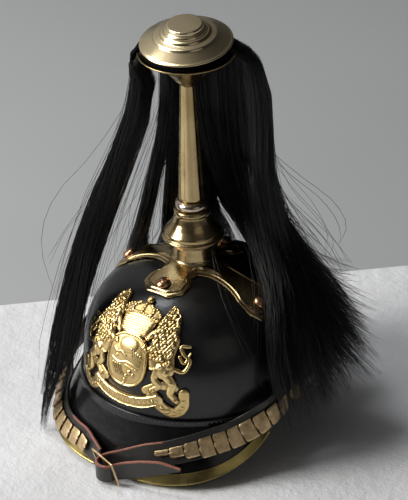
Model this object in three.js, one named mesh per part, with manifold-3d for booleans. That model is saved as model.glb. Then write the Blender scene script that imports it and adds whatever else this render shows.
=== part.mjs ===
// Spiked parade helmet: black leather skull and visors, brass cross base, plume stem and
// crest, a leather chin strap with brass scales, and a black horsehair plume.
// Millimetres, +Z up, the front of the helmet towards -Y. Heights are above the table
// until the last lines, which put the origin at the bottom centre of the bounding box.

import * as THREE from 'three';
import { mergeVertices } from 'three/addons/utils/BufferGeometryUtils.js';
import Module from 'manifold-3d';

const wasm = await Module();
wasm.setup();

// ---------- driving dimensions ----------

const GAP = 0.3; // air between pieces that touch

const SKULL = {
  halfWidth: 93.9,
  front: 96.2, // stem axis to the front of the skull
  back: 103,
  seam: 48.4, // height of the widest line, where the visors are sewn on
  dome: 96, // height of the dome above the seam
  crownPower: 3.0, // how flat the top is
  shoulderPower: 2.26, // how square the shoulder is
  bottom: 43,
  wall: 2.5,
};

const LEATHER = 2.4; // visor leather
const FLANGE_TOP = 50.6; // upper edge of the visors' sewn flange
const VISOR_ROOT = 45.8; // height where a visor leaves the skull

// Rim curves: half width at the sides, reach along Y, power of the superellipse in plan.
const FRONT_RIM = {
  halfWidth: 98.8, sideY: -23.4, reach: 94.1, power: 2.55, sideZ: 45.4, drop: 43, sweep: 0.42,
};
const REAR_RIM = { halfWidth: 98.5, sideY: -8, reach: 127, power: 2.5, sideZ: 42, flat: 0.42, sweep: 1.4 };

const TRIM = { wall: 0.9, lipOut: 8.3, lipIn: 5, cap: 1.3 };

const STEM = {
  plateTop: 152,
  neckRadius: 17.4,
  neckTop: 166.3,
  collarTop: 195.6,
  beadTop: 203.4,
  shaftBottom: 11.4,
  shaftTop: 6.4,
  cupBottom: 309,
  dishRim: 337.6,
};

const CAP = { height: 346.4, tiltForward: 5.5, tiltSide: 3 };

const VIEW_SIDE = 38.5; // the plume leaves this side open, degrees from the front towards +X

// ---------- materials ----------

function material(color, roughness, metalness) {
  return new THREE.MeshStandardMaterial({ color, roughness, metalness });
}

const BLACK_LEATHER = ['#15151a', 0.35, 0];
const STRAP_LEATHER = ['#1b1714', 0.4, 0];
const BRASS = ['#b08d4a', 0.3, 1];
const GILT = ['#c9a55a', 0.38, 1];
const SCALE_BRASS = ['#a88a55', 0.5, 1];
const COPPER = ['#8a5a3c', 0.35, 1];
const SILVER = ['#cfcac4', 0.2, 1];
const HORSEHAIR = ['#0b0b0c', 0.6, 0];

const helmet = new THREE.Group();

function add(name, geometry, finish) {
  const mesh = new THREE.Mesh(geometry, material(...finish));
  mesh.name = name;
  helmet.add(mesh);
  return mesh;
}

// ---------- geometry helpers ----------

function geometryFrom(points, triangles) {
  const geometry = new THREE.BufferGeometry();
  const position = new Float32Array(points.flatMap((p) => [p.x, p.y, p.z]));
  geometry.setAttribute('position', new THREE.BufferAttribute(position, 3));
  geometry.setIndex(triangles);
  return geometry;
}

// Joins rings of equal point count into one closed body. The first and last ring are capped
// with capFaces, or each with a fan round its own centre when capFaces is left out.
function loft(rings, capFaces) {
  const count = rings[0].length;
  const points = rings.flat();
  const triangles = [];
  for (let i = 0; i + 1 < rings.length; i += 1) {
    for (let j = 0; j < count; j += 1) {
      const a = i * count + j;
      const b = i * count + ((j + 1) % count);
      triangles.push(a, b, b + count, a, b + count, a + count);
    }
  }
  const last = (rings.length - 1) * count;
  if (capFaces) {
    for (const [a, b, c] of capFaces) {
      triangles.push(a, c, b, last + a, last + b, last + c);
    }
    return outward(geometryFrom(points, triangles));
  }
  for (const [start, flip] of [[0, true], [last, false]]) {
    const centre = new THREE.Vector3();
    for (let j = 0; j < count; j += 1) centre.add(points[start + j]);
    const hub = points.push(centre.divideScalar(count)) - 1;
    for (let j = 0; j < count; j += 1) {
      const a = start + j;
      const b = start + ((j + 1) % count);
      triangles.push(...(flip ? [hub, b, a] : [hub, a, b]));
    }
  }
  return outward(geometryFrom(points, triangles));
}

// Turns a closed body's faces outward if its signed volume is negative.
function outward(geometry) {
  const position = geometry.getAttribute('position');
  const index = geometry.getIndex().array;
  const corner = [new THREE.Vector3(), new THREE.Vector3(), new THREE.Vector3()];
  let volume = 0;
  for (let i = 0; i < index.length; i += 3) {
    corner.forEach((v, k) => v.fromBufferAttribute(position, index[i + k]));
    volume += corner[0].dot(corner[1].clone().cross(corner[2]));
  }
  if (volume < 0) {
    const flipped = Array.from(index);
    for (let i = 0; i < flipped.length; i += 3) {
      [flipped[i + 1], flipped[i + 2]] = [flipped[i + 2], flipped[i + 1]];
    }
    geometry.setIndex(flipped);
  }
  return geometry;
}

function welded(geometry) {
  const bare = geometry.clone();
  bare.deleteAttribute('normal');
  bare.deleteAttribute('uv');
  return mergeVertices(bare, 1e-4);
}

function toSolid(geometry) {
  const bare = welded(geometry);
  const mesh = new wasm.Mesh({
    numProp: 3,
    vertProperties: new Float32Array(bare.getAttribute('position').array),
    triVerts: new Uint32Array(bare.getIndex().array),
  });
  mesh.merge();
  return new wasm.Manifold(mesh);
}

function fromSolid(solid) {
  const mesh = solid.getMesh();
  const geometry = new THREE.BufferGeometry();
  geometry.setAttribute('position', new THREE.BufferAttribute(new Float32Array(mesh.vertProperties), 3));
  geometry.setIndex(Array.from(mesh.triVerts));
  return geometry;
}

function join(geometries) {
  return fromSolid(geometries.map(toSolid).reduce((whole, piece) => whole.add(piece)));
}

// A turned piece about the Z axis, from [radius, height] pairs.
function turned(profile, segments) {
  const points = profile.map(([radius, height]) => new THREE.Vector2(radius, height));
  const geometry = new THREE.LatheGeometry(points, segments);
  geometry.rotateX(Math.PI / 2);
  return outward(welded(geometry));
}

function signedPower(value, exponent) {
  return Math.sign(value) * Math.abs(value) ** exponent;
}

// ---------- skull ----------

// A point of the skull's surface: angle 0 is the front, +90 degrees is +X. Level 0 is the
// seam and 1 the top. Grow moves the surface out.
function skullPoint(angle, level, grow = 0) {
  const ratio = (1 - Math.min(level, 1) ** SKULL.crownPower) ** (1 / SKULL.shoulderPower);
  const reach = Math.cos(angle) > 0 ? SKULL.front : SKULL.back;
  return new THREE.Vector3(
    (SKULL.halfWidth + grow) * ratio * Math.sin(angle),
    -(reach + grow) * ratio * Math.cos(angle),
    SKULL.seam + (SKULL.dome + grow) * level,
  );
}

function skullHeight(x, y) {
  const reach = y < 0 ? SKULL.front : SKULL.back;
  const ratio = Math.min(Math.hypot(x / SKULL.halfWidth, y / reach), 0.999);
  const level = (1 - ratio ** SKULL.shoulderPower) ** (1 / SKULL.crownPower);
  return SKULL.seam + SKULL.dome * level;
}

function skullNormal(angle, level) {
  const step = 0.01;
  const low = Math.min(level, 0.98);
  const alongRing = skullPoint(angle + step, low).sub(skullPoint(angle - step, low));
  const alongRib = skullPoint(angle, low + step).sub(skullPoint(angle, Math.max(low - step, 0)));
  return alongRing.cross(alongRib).normalize();
}

function skullShell() {
  const around = 36;
  const levels = [0, 0.22, 0.42, 0.6, 0.75, 0.87, 0.96];
  const ring = (place) => Array.from({ length: around }, (_, i) => place((i / around) * 2 * Math.PI));
  const straight = (grow) => (angle) => {
    const point = skullPoint(angle, 0, grow);
    point.z = SKULL.bottom;
    return point;
  };
  const outer = levels.map((level) => ring((angle) => skullPoint(angle, level)));
  const inner = levels.map((level) => ring((angle) => skullPoint(angle, level, -SKULL.wall)));
  return loft([...inner.reverse(), ring(straight(-SKULL.wall)), ring(straight(0)), ...outer]);
}

add('skull', skullShell(), BLACK_LEATHER);

// ---------- visors ----------

// Turn runs from -90 to +90 degrees across a visor, 0 at its tip.
function frontRim(turn) {
  const rim = FRONT_RIM;
  const bend = 2 / rim.power;
  return new THREE.Vector3(
    rim.halfWidth * signedPower(Math.sin(turn), bend),
    rim.sideY - rim.reach * Math.cos(turn) ** bend,
    rim.sideZ - rim.drop * Math.cos(turn) ** rim.sweep,
  );
}

function rearRim(turn, lowest) {
  const rim = REAR_RIM;
  const bend = 2 / rim.power;
  const climb = Math.max(Math.abs(Math.sin(turn)) - rim.flat, 0) / (1 - rim.flat);
  return new THREE.Vector3(
    rim.halfWidth * signedPower(Math.sin(turn), bend),
    rim.sideY + rim.reach * Math.cos(turn) ** bend,
    lowest + (rim.sideZ - lowest) * climb ** rim.sweep,
  );
}

function besideSkull(point, grow, z) {
  const reach = point.y < 0 ? SKULL.front : SKULL.back;
  const beside = skullPoint(Math.atan2(point.x / SKULL.halfWidth, -point.y / reach), 0, grow);
  beside.z = z;
  return beside;
}

// The frame of a visor at a turn: its root on the skull, its rim, the way down the slope and
// the outward normal.
function visorFrame(rimCurve, turn) {
  const step = 0.01;
  const rim = rimCurve(turn);
  const root = besideSkull(rim, GAP + LEATHER, VISOR_ROOT);
  const down = rim.clone().sub(root).normalize();
  const ahead = Math.min(turn + step, Math.PI / 2);
  const behind = Math.max(turn - step, -Math.PI / 2);
  const along = rimCurve(ahead).sub(rimCurve(behind)).normalize();
  const normal = along.clone().cross(down).normalize();
  if (normal.z < 0) normal.negate();
  return { rim, root, down, along, normal, slope: rim.distanceTo(root) };
}

// Turns that lie at even angles in plan, so that every chord hugs the skull.
function evenTurns(rim, stations) {
  return Array.from({ length: stations + 1 }, (_, i) => {
    const angle = Math.PI * (i / stations - 0.5);
    const slant = (Math.abs(Math.tan(angle)) * rim.reach) / rim.halfWidth;
    return Math.sign(angle) * Math.atan(slant ** (rim.power / 2));
  });
}

const FRONT_TURNS = evenTurns(FRONT_RIM, 30);

function visor(rimCurve, turns, flatEdge) {
  const rings = [];
  for (const turn of turns) {
    const { rim, root, normal } = visorFrame(rimCurve, turn);
    const under = (point) => point.clone().addScaledVector(normal, -LEATHER);
    const middle = root.clone().lerp(rim, 0.5);
    const rimUnder = under(rim);
    if (flatEdge) rimUnder.z = Math.max(rimUnder.z, rim.z);
    rings.push([
      besideSkull(rim, GAP + LEATHER, FLANGE_TOP),
      root,
      middle,
      rim,
      rimUnder,
      under(middle),
      under(root),
      besideSkull(rim, GAP, VISOR_ROOT + 1),
      besideSkull(rim, GAP, FLANGE_TOP),
    ]);
  }
  const faces = [[0, 1, 7], [0, 7, 8], [1, 6, 7], [1, 2, 5], [1, 5, 6], [2, 3, 4], [2, 4, 5]];
  return loft(rings, faces);
}

// The trim is a channel folded over the front visor's rim.
function visorTrim() {
  const half = LEATHER + GAP;
  const rings = [];
  for (const turn of FRONT_TURNS.slice(1, -1)) {
    const { rim, down, normal, slope } = visorFrame(frontRim, turn);
    const lipOut = Math.min(TRIM.lipOut, 0.55 * slope);
    const lipIn = Math.min(TRIM.lipIn, 0.45 * slope);
    const place = (across, along) =>
      rim.clone().addScaledVector(normal, across).addScaledVector(down, along);
    rings.push([
      place(GAP, -lipOut),
      place(GAP + TRIM.wall, -lipOut),
      place(GAP + TRIM.wall, TRIM.cap),
      place(-half - TRIM.wall, TRIM.cap),
      place(-half - TRIM.wall, -lipIn),
      place(-half, -lipIn),
      place(-half, GAP),
      place(GAP, GAP),
    ]);
  }
  const faces = [[0, 1, 7], [1, 2, 7], [2, 3, 6], [2, 6, 7], [3, 4, 6], [4, 5, 6]];
  return loft(rings, faces);
}

const trim = visorTrim();
trim.computeBoundingBox();
const restHeight = trim.boundingBox.min.z; // the trim and the rear visor stand on the table

add('front_visor', visor(frontRim, FRONT_TURNS, false), BLACK_LEATHER);
add('rear_visor', visor((turn) => rearRim(turn, restHeight), evenTurns(REAR_RIM, 32), true), BLACK_LEATHER);
add('visor_trim', trim, BRASS);

// ---------- cross base ----------

// Half of an arm's rounded end: distance back from its tip, and share of the end's half width.
const LOBE = [
  { back: 0, share: 0 },
  { back: 0, share: 0.54 },
  { back: 9, share: 1 },
  { back: 19, share: 1 },
];
const SIDE_ARM = {
  tip: 77.5,
  lobe: 16.8,
  waist: [{ at: 50, half: 13.8 }, { at: 38, half: 12.2 }, { at: 26, half: 13 }],
};
const FRONT_ARM = { tip: 50, lobe: 20, waist: [{ at: 25, half: 15.2 }] };
const CROTCH = 23.5; // distance of the hollow between two arms from the stem axis

function armHalf(arm, inset) {
  const lobe = LOBE.map(({ back, share }) => ({
    at: arm.tip - back - inset * (back === 0),
    half: Math.max(share * arm.lobe - inset, 0),
  }));
  const waist = arm.waist.map(({ at, half }) => ({ at, half: half - inset }));
  return [...lobe, ...waist];
}

// The closed outline of the cross, set in by inset, as angles and radii from the stem axis.
function crossOutline(inset) {
  const outline = [];
  const arms = [FRONT_ARM, SIDE_ARM, FRONT_ARM, SIDE_ARM];
  arms.forEach((arm, quarter) => {
    const middle = -Math.PI / 2 + quarter * (Math.PI / 2);
    const half = armHalf(arm, inset);
    const place = (row, side) => {
      const angle = middle + side * Math.atan2(row.half, row.at);
      return { angle, radius: Math.hypot(row.half, row.at) };
    };
    outline.push(...half.slice(1).reverse().map((row) => place(row, -1)));
    outline.push(...half.map((row) => place(row, 1)));
    outline.push({ angle: middle + Math.PI / 4, radius: CROTCH - inset });
  });
  return outline;
}

// Moulded edge from the rim inwards: set-in and height above the skull.
const MOULDING = [
  { inset: 0, rise: 0.95 },
  { inset: 0.3, rise: 1.9 },
  { inset: 2.2, rise: 2.3 },
  { inset: 2.6, rise: 3.4 },
  { inset: 4.4, rise: 3.6 },
  { inset: 5, rise: 3.0 },
];

function crossBase() {
  const field = MOULDING.at(-1);
  const onSkull = (angle, radius, rise) => {
    const x = radius * Math.cos(angle);
    const y = radius * Math.sin(angle);
    return new THREE.Vector3(x, y, skullHeight(x, y) + rise);
  };
  const outline = crossOutline(0);
  const inner = crossOutline(field.inset);
  const scaled = (rows, share, rise) => rows.map((row) => onSkull(row.angle, row.radius * share, rise));
  const circle = (radius, z) =>
    outline.map((_, i) => new THREE.Vector3(
      radius * Math.cos(inner[i].angle), radius * Math.sin(inner[i].angle), z));
  const moulded = MOULDING.map(({ inset, rise }) => scaled(crossOutline(inset), 1, rise));
  const underside = [0.3, 0.55, 0.75, 0.9].map((share) => scaled(outline, share, GAP + 0.95));
  const topside = [0.86, 0.66].map((share) =>
    inner.map((row) => {
      const radius = Math.max(row.radius * share, STEM.neckRadius + 3);
      const rootRise = 3.2 * Math.max(0, 1 - (radius - STEM.neckRadius) / 22) ** 1.5;
      return onSkull(row.angle, Math.min(radius, row.radius), field.rise + rootRise);
    }));
  return loft([
    ...underside,
    ...moulded,
    ...topside,
    circle(STEM.neckRadius + 1.2, STEM.plateTop - 1),
    circle(STEM.neckRadius, STEM.plateTop + 1.4),
    circle(STEM.neckRadius, STEM.neckTop),
  ]);
}

add('cross_base', crossBase(), BRASS);

// Lift is the height of a stud's foot above the skull.
const STUDS = [
  { name: 'stud_front', x: 0, y: -40.3, lift: 3.55 },
  { name: 'stud_back', x: 0, y: 40.3, lift: 3.6 },
  { name: 'stud_left', x: -66.7, y: 0, lift: 2.65 },
  { name: 'stud_right', x: 66.7, y: 0, lift: 2.65 },
];

// A domed stud on the lobe's field, square to the skull there.
function stud({ x, y, lift }) {
  const dome = turned([[0, 0], [6.2, 0], [6.4, 0.8], [5.4, 2.6], [3.2, 3.9], [0, 4.4]], 12);
  const step = 1;
  const normal = new THREE.Vector3(
    skullHeight(x - step, y) - skullHeight(x + step, y),
    skullHeight(x, y - step) - skullHeight(x, y + step),
    2 * step,
  ).normalize();
  dome.applyQuaternion(new THREE.Quaternion().setFromUnitVectors(new THREE.Vector3(0, 0, 1), normal));
  const seat = new THREE.Vector3(x, y, skullHeight(x, y)).addScaledVector(normal, lift);
  dome.translate(seat.x, seat.y, seat.z);
  return dome;
}

for (const row of STUDS) add(row.name, stud(row), COPPER);

// ---------- stem ----------

const COLLAR_PROFILE = [
  [0, STEM.neckTop + GAP], [22.6, STEM.neckTop + GAP], [23.4, 167.6], [23.2, 168.6], [25, 169], [25.7, 170.4],
  [25.2, 171.8], [23.2, 172.4], [23.4, 175.4], [21.6, 177.4], [19, 180.5], [16.4, 185], [14.6, 190.4],
  [14.9, 191.6], [15.3, 193], [14.9, 194.6], [14, STEM.collarTop], [0, STEM.collarTop],
];
add('stem_collar', turned(COLLAR_PROFILE, 28), BRASS);

const BEAD_PROFILE = [
  [0, STEM.collarTop + GAP], [12.2, STEM.collarTop + GAP], [13.6, 197.6], [14, 199.6],
  [13.5, 201.4], [12.2, 202.8],
  [11, STEM.beadTop], [0, STEM.beadTop],
];
add('bead_ring', turned(BEAD_PROFILE, 24), SILVER);

// The shaft has eight faces, each hollowed a little along its middle.
function shaft() {
  const ring = (radius, z) => Array.from({ length: 16 }, (_, i) => {
    const angle = (i / 16) * 2 * Math.PI + Math.PI / 8;
    const reach = i % 2 === 0 ? radius : radius * 0.9;
    return new THREE.Vector3(reach * Math.cos(angle), reach * Math.sin(angle), z);
  });
  const foot = STEM.beadTop + GAP;
  return loft([
    ring(STEM.shaftBottom - 1.4, foot),
    ring(STEM.shaftBottom, foot + 2.5),
    ring(STEM.shaftTop, STEM.cupBottom + 4),
  ]);
}

// Cup and dish below the plume, heights from the dish's rim.
const DISH_PROFILE = [
  [0, -30], [6.6, -29.4], [7.4, -27.6], [9.6, -25.6], [13, -21], [18.6, -14.6], [23.6, -10],
  [25.2, -8.6], [25.6, -7.2], [27, -6.6], [33, -4.4], [38.4, -1.8], [39.8, -0.7], [39.6, 0.3], [38.6, 0.1],
  [33, -2.8], [26, -5.2], [18, -11.6], [11.6, -18.4], [0, -22],
];

function plumeStem() {
  const dish = turned(DISH_PROFILE.map(([radius, z]) => [radius, STEM.dishRim + z]), 28);
  return join([shaft(), dish]);
}

add('plume_stem', plumeStem(), BRASS);

// The cap is a thin turned shell with a plain post under its middle, leaning to the front.
const CAP_OUTSIDE = [
  [0, 17], [13.4, 16.9], [14, 15.8], [15.4, 13.9], [17.6, 13.1], [18.6, 11.6], [21, 10.8], [21.8, 9.3],
  [24.4, 8.5], [25.2, 7.2], [26, 6.9], [36.4, 0.7], [37.5, 0],
];
const CAP_INSIDE = [
  [36.8, -0.7], [25.6, 5.6], [19, 9.3], [12.6, 15], [3.6, 15.2], [3.6, 2.9], [0, 2.9],
];

const cap = add('plume_cap', turned([...CAP_OUTSIDE, ...CAP_INSIDE], 28), BRASS);
cap.position.z = CAP.height;
const openSide = THREE.MathUtils.degToRad(VIEW_SIDE);
const tiltAxis = new THREE.Vector3(Math.cos(openSide), Math.sin(openSide), 0);
const sideAxis = new THREE.Vector3(Math.sin(openSide), -Math.cos(openSide), 0);
cap.quaternion.setFromAxisAngle(sideAxis, THREE.MathUtils.degToRad(CAP.tiltSide));
cap.quaternion.multiply(new THREE.Quaternion().setFromAxisAngle(
  tiltAxis, THREE.MathUtils.degToRad(CAP.tiltForward)));

// ---------- plume ----------

// The head of the plume fills the dish, under the cap.
const HEAD_PROFILE = [
  [0, -21.6], [11.2, -17.9], [17.8, -11], [25.8, -4.8], [33, -2.4], [35.6, -1], [35.4, 1.8], [32, 3.6],
  [24, 5.6], [14, 8.4], [8, 11], [0, 11],
];

// Locks of hair. Each row down a lock: side (degrees round from the open side, positive towards
// the right of it), radius from the stem axis, height, half width and half thickness.
const LOCKS = [
  // the mass on the left, and a strand that turns in over the skull's left flank
  [
    [-107, 37, 308, 11, 9], [-104, 39, 288, 11, 10], [-99, 46, 264, 11, 10], [-95, 57, 236, 11, 11],
    [-92, 70, 206, 12, 12], [-90, 84, 168, 13, 12], [-88, 94, 139, 13, 12], [-86, 101, 118, 14, 11],
    [-85, 110, 88, 14, 10], [-84, 117, 60, 12, 8], [-83, 124, 42, 10, 5], [-81, 130, 24, 7, 3],
    [-80, 132, 10, 4, 2],
  ],
  [
    [-97, 40, 300, 8, 6], [-94, 52, 262, 8, 7], [-90, 67, 214, 9, 8], [-85, 84, 168, 11, 8],
    [-80, 94, 138, 12, 7], [-77, 103, 108, 13, 6], [-75, 111, 80, 13, 6], [-74, 118, 58, 10, 4],
    [-74, 121, 46, 6, 2],
  ],
  // two strands in the gap behind the stem
  [
    [-158, 41, 296, 7, 5], [-153, 43, 250, 6, 5], [-144, 46, 220, 6, 5], [-135, 48, 194, 6, 5],
    [-135, 58, 160, 7, 5], [-143, 76, 134, 8, 5], [-149, 96, 104, 11, 5], [-149, 112, 76, 12, 5],
    [-148, 118, 52, 8, 3],
  ],
  [
    [-170, 43, 292, 10, 5], [-168, 45, 245, 8, 5], [-162, 48, 200, 7, 5], [-162, 57, 160, 8, 5],
    [-167, 78, 136, 8, 5], [-168, 97, 112, 10, 5], [-168, 112, 82, 14, 5], [-168, 122, 52, 11, 3],
  ],
  // the back
  [
    [176, 44, 292, 13, 6], [176, 46, 245, 13, 7], [176, 51, 200, 14, 7], [175, 64, 164, 16, 6],
    [174, 86, 136, 19, 6], [171, 106, 106, 20, 6], [169, 121, 76, 18, 5], [168, 132, 48, 12, 3],
  ],
  [
    [152, 46, 296, 13, 7], [150, 49, 250, 14, 8], [148, 54, 205, 16, 8], [147, 66, 170, 18, 7],
    [146, 87, 142, 20, 7], [146, 107, 114, 21, 7], [146, 124, 88, 19, 6], [146, 140, 62, 13, 3],
  ],
  [
    [127, 52, 304, 14, 8], [125, 58, 260, 15, 9], [122, 60, 216, 16, 9], [121, 69, 178, 18, 9],
    [120, 85, 146, 20, 8], [119, 104, 118, 21, 8], [117, 123, 92, 18, 6], [115, 138, 70, 13, 3],
  ],
  // the mass on the right, which lies over the skull's right flank and fans out like a broom
  [
    [95, 53, 322, 13, 6], [94, 58, 290, 14, 9], [92, 58, 248, 14, 9], [91, 60, 214, 15, 9],
    [90, 65, 184, 15, 9], [89, 71, 158, 15, 9], [88, 79, 138, 15, 9], [87, 92, 122, 15, 8],
    [86, 104, 112, 14, 5], [86, 113, 105, 12, 3],
  ],
  [
    [105, 54, 314, 13, 7], [102, 57, 270, 14, 9], [99, 59, 225, 15, 9], [96, 66, 184, 16, 9],
    [93, 76, 150, 17, 9], [91, 90, 124, 17, 9], [88, 107, 104, 16, 8], [86, 121, 89, 14, 6],
    [85, 132, 78, 12, 3],
  ],
  [
    [115, 53, 306, 13, 8], [111, 55, 262, 14, 9], [107, 58, 218, 15, 9], [102, 66, 182, 16, 9],
    [96, 78, 152, 17, 9], [89, 93, 126, 18, 9], [84, 107, 102, 18, 8], [82, 121, 80, 17, 7],
    [81, 134, 64, 14, 5], [81, 144, 54, 11, 3],
  ],
  [
    [138, 48, 298, 13, 7], [134, 49, 252, 13, 8], [124, 50, 214, 13, 8], [110, 57, 182, 14, 8],
    [96, 68, 160, 15, 8], [83, 81, 140, 16, 8], [74, 94, 116, 17, 8], [69, 105, 92, 18, 7],
    [68, 115, 70, 17, 6], [69, 123, 50, 12, 3],
  ],
  [
    [150, 46, 300, 12, 7], [144, 44, 256, 12, 8], [131, 44, 216, 12, 8], [113, 49, 184, 13, 8],
    [94, 61, 161, 14, 8], [78, 75, 143, 15, 8], [66, 88, 121, 16, 8], [58, 101, 97, 17, 7],
    [56, 113, 72, 16, 5], [56, 119, 48, 12, 3],
  ],
  [
    [166, 43, 296, 11, 6], [156, 40, 252, 10, 7], [140, 38, 218, 10, 7], [116, 41, 187, 11, 7],
    [92, 51, 163, 12, 7], [74, 65, 149, 13, 7], [60, 79, 137, 14, 7], [49, 92, 112, 15, 7],
    [43, 105, 84, 15, 6], [42, 114, 64, 13, 5], [43, 117, 48, 10, 3],
  ],
];

// Every lock starts in the head and turns down over the rim of the dish.
const LOCK_ROOTS = [[30, 340.8, 1.6], [39, 341.2, 1.8], [43.5, 336.6, 2.2]];

function lock(free) {
  const sides = 6;
  const [firstSide, , , firstWidth] = free[0];
  const rootWidth = 0.85 * firstWidth;
  const roots = LOCK_ROOTS.map(([radius, z, halfThick]) => [firstSide, radius, z, rootWidth, halfThick]);
  const rows = [...roots, ...free];
  const around = rows.map(([side]) => THREE.MathUtils.degToRad(VIEW_SIDE + side));
  const centres = rows.map(([, radius, z], i) => (
    new THREE.Vector3(radius * Math.sin(around[i]), -radius * Math.cos(around[i]), z)));
  const rings = rows.map(([, , , halfWidth, halfThick], i) => {
    const before = centres[Math.max(i - 1, 0)];
    const after = centres[Math.min(i + 1, rows.length - 1)];
    const along = after.clone().sub(before).normalize();
    const level = new THREE.Vector3(Math.cos(around[i]), Math.sin(around[i]), 0);
    const across = level.addScaledVector(along, -level.dot(along)).normalize();
    const normal = along.clone().cross(across);
    return Array.from({ length: sides }, (_, k) => {
      const angle = (k / sides) * 2 * Math.PI;
      return centres[i].clone()
        .addScaledVector(across, halfWidth * Math.cos(angle))
        .addScaledVector(normal, halfThick * Math.sin(angle));
    });
  });
  return loft(rings);
}

function plume() {
  const head = turned(HEAD_PROFILE.map(([radius, z]) => [radius, STEM.dishRim + z]), 24);
  return join([head, ...LOCKS.map(lock)]);
}

add('plume', plume(), HORSEHAIR);

// ---------- crest plate ----------

// The crest is drawn flat, u across and v up from the seam, then bent on to the skull.
const CREST = { base: 1.2, high: 2.4, bold: 3.6, longestEdge: 17 };

function extruded(outline, depth, lift = 0) {
  const shape = new THREE.Shape(outline.map(([u, v]) => new THREE.Vector2(u, v)));
  const options = { depth: depth - lift, bevelEnabled: false, curveSegments: 8 };
  const geometry = new THREE.ExtrudeGeometry(shape, options);
  geometry.translate(0, 0, lift);
  return outward(welded(geometry));
}

function oval(u, v, halfU, halfV, count, power = 2) {
  return Array.from({ length: count }, (_, i) => {
    const angle = (i / count) * 2 * Math.PI;
    return [
      u + halfU * signedPower(Math.cos(angle), 2 / power),
      v + halfV * signedPower(Math.sin(angle), 2 / power),
    ];
  });
}

// A band of even or tapering width along a smooth line through the given points.
function stroke(points, startWidth, endWidth = startWidth, steps = 7) {
  const line = new THREE.CatmullRomCurve3(points.map(([u, v]) => new THREE.Vector3(u, v, 0)));
  const left = [];
  const right = [];
  for (let i = 0; i <= steps; i += 1) {
    const share = i / steps;
    const point = line.getPoint(share);
    const along = line.getTangent(share);
    const half = (startWidth + (endWidth - startWidth) * share) / 2;
    left.push([point.x - along.y * half, point.y + along.x * half]);
    right.push([point.x + along.y * half, point.y - along.x * half]);
  }
  return [...left, ...right.reverse()];
}

const mirrored = (points) => points.map(([u, v]) => [-u, v]).reverse();

// A supporter stands upright beside the shield: a lion-like beast with a mane and a looped tail.
const BEAST = {
  body: [[17, 84], [20, 92], [21, 98], [25, 99], [30, 94], [35, 87], [37, 78], [41, 70], [40, 58], [42, 50],
    [38, 43], [30, 42], [22, 46], [19, 54], [18, 66], [19, 76]],
  mane: [[20, 84], [22, 92], [28, 92], [33, 84], [35, 74], [36, 63], [30, 56], [23, 58], [21, 70]],
  thigh: oval(35, 47, 7.5, 8, 10),
  leg: [[36, 42], [42, 35], [41, 27], [46, 21]],
  rearLeg: [[28, 45], [27, 38], [31, 33], [26, 28]],
  arm: [[22, 78], [17, 74], [14, 69]],
  forearm: [[22, 64], [16, 60], [13, 62]],
  tail: [[41, 48], [50, 46], [53, 55], [47, 60], [43, 66], [50, 66]],
  tailTip: [[44, 58], [49, 53], [52, 61]],
};

const RIBBON = {
  middle: [[-30, 20], [-18, 15.4], [0, 13.6], [18, 15.4], [30, 20]],
  fold: [[26, 24], [34, 14], [44, 9.5], [51, 15], [52, 27]],
  back: [[20, 27], [32, 33], [44, 32]],
};

function crestFlat() {
  const { base, high, bold } = CREST;
  const pieces = [
    extruded(oval(0, 48, 19.6, 22.4, 20, 2.5), base),
    extruded(oval(0, 48, 17, 19.8, 20, 2.5), high),
    extruded(oval(0, 49, 10.5, 13, 14, 2.2), bold),
    extruded([[-16, 83], [-12.5, 70], [12.5, 70], [16, 83], [8, 85.4], [0, 86.2], [-8, 85.4]], high),
    extruded([
      [-16.4, 82], [-17.4, 89], [-13, 93], [-6, 95.4], [0, 98], [6, 95.4], [13, 93], [17.4, 89], [16.4, 82],
    ], base),
    extruded(stroke([[-15.5, 83], [-16, 88], [-11, 92], [-4, 94]], 3.2), bold),
    extruded(stroke([[15.5, 83], [16, 88], [11, 92], [4, 94]], 3.2), bold),
    extruded(stroke([[-7.5, 84.5], [-8, 90], [-3, 95]], 2.6), bold),
    extruded(stroke([[7.5, 84.5], [8, 90], [3, 95]], 2.6), bold),
    extruded(stroke([[0, 85], [0, 97]], 2.8, 2.8, 2), bold),
    extruded(oval(0, 99.4, 3.4, 3.6, 10), bold),
    extruded(stroke(RIBBON.middle, 9.4, 9.4, 10), high),
  ];
  const sided = [
    [BEAST.body, base + 0.4],
    [BEAST.mane, bold],
    [BEAST.thigh, bold - 0.4],
    [stroke(BEAST.leg, 7.5, 5), high],
    [stroke(BEAST.rearLeg, 6, 4.4), high],
    [stroke(BEAST.arm, 5.5, 4), high + 0.4],
    [stroke(BEAST.forearm, 5.5, 4), high + 0.4],
    [stroke(BEAST.tail, 3.6, 2.6), high],
    [stroke(BEAST.tailTip, 2.6, 2.2), high],
    [stroke(RIBBON.fold, 9.4, 8.4), base + 0.6],
    [stroke(RIBBON.back, 6.6, 6.6), base],
  ];
  for (const [outline, depth] of sided) {
    pieces.push(extruded(outline, depth), extruded(mirrored(outline), depth));
  }
  return join(pieces);
}

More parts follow.
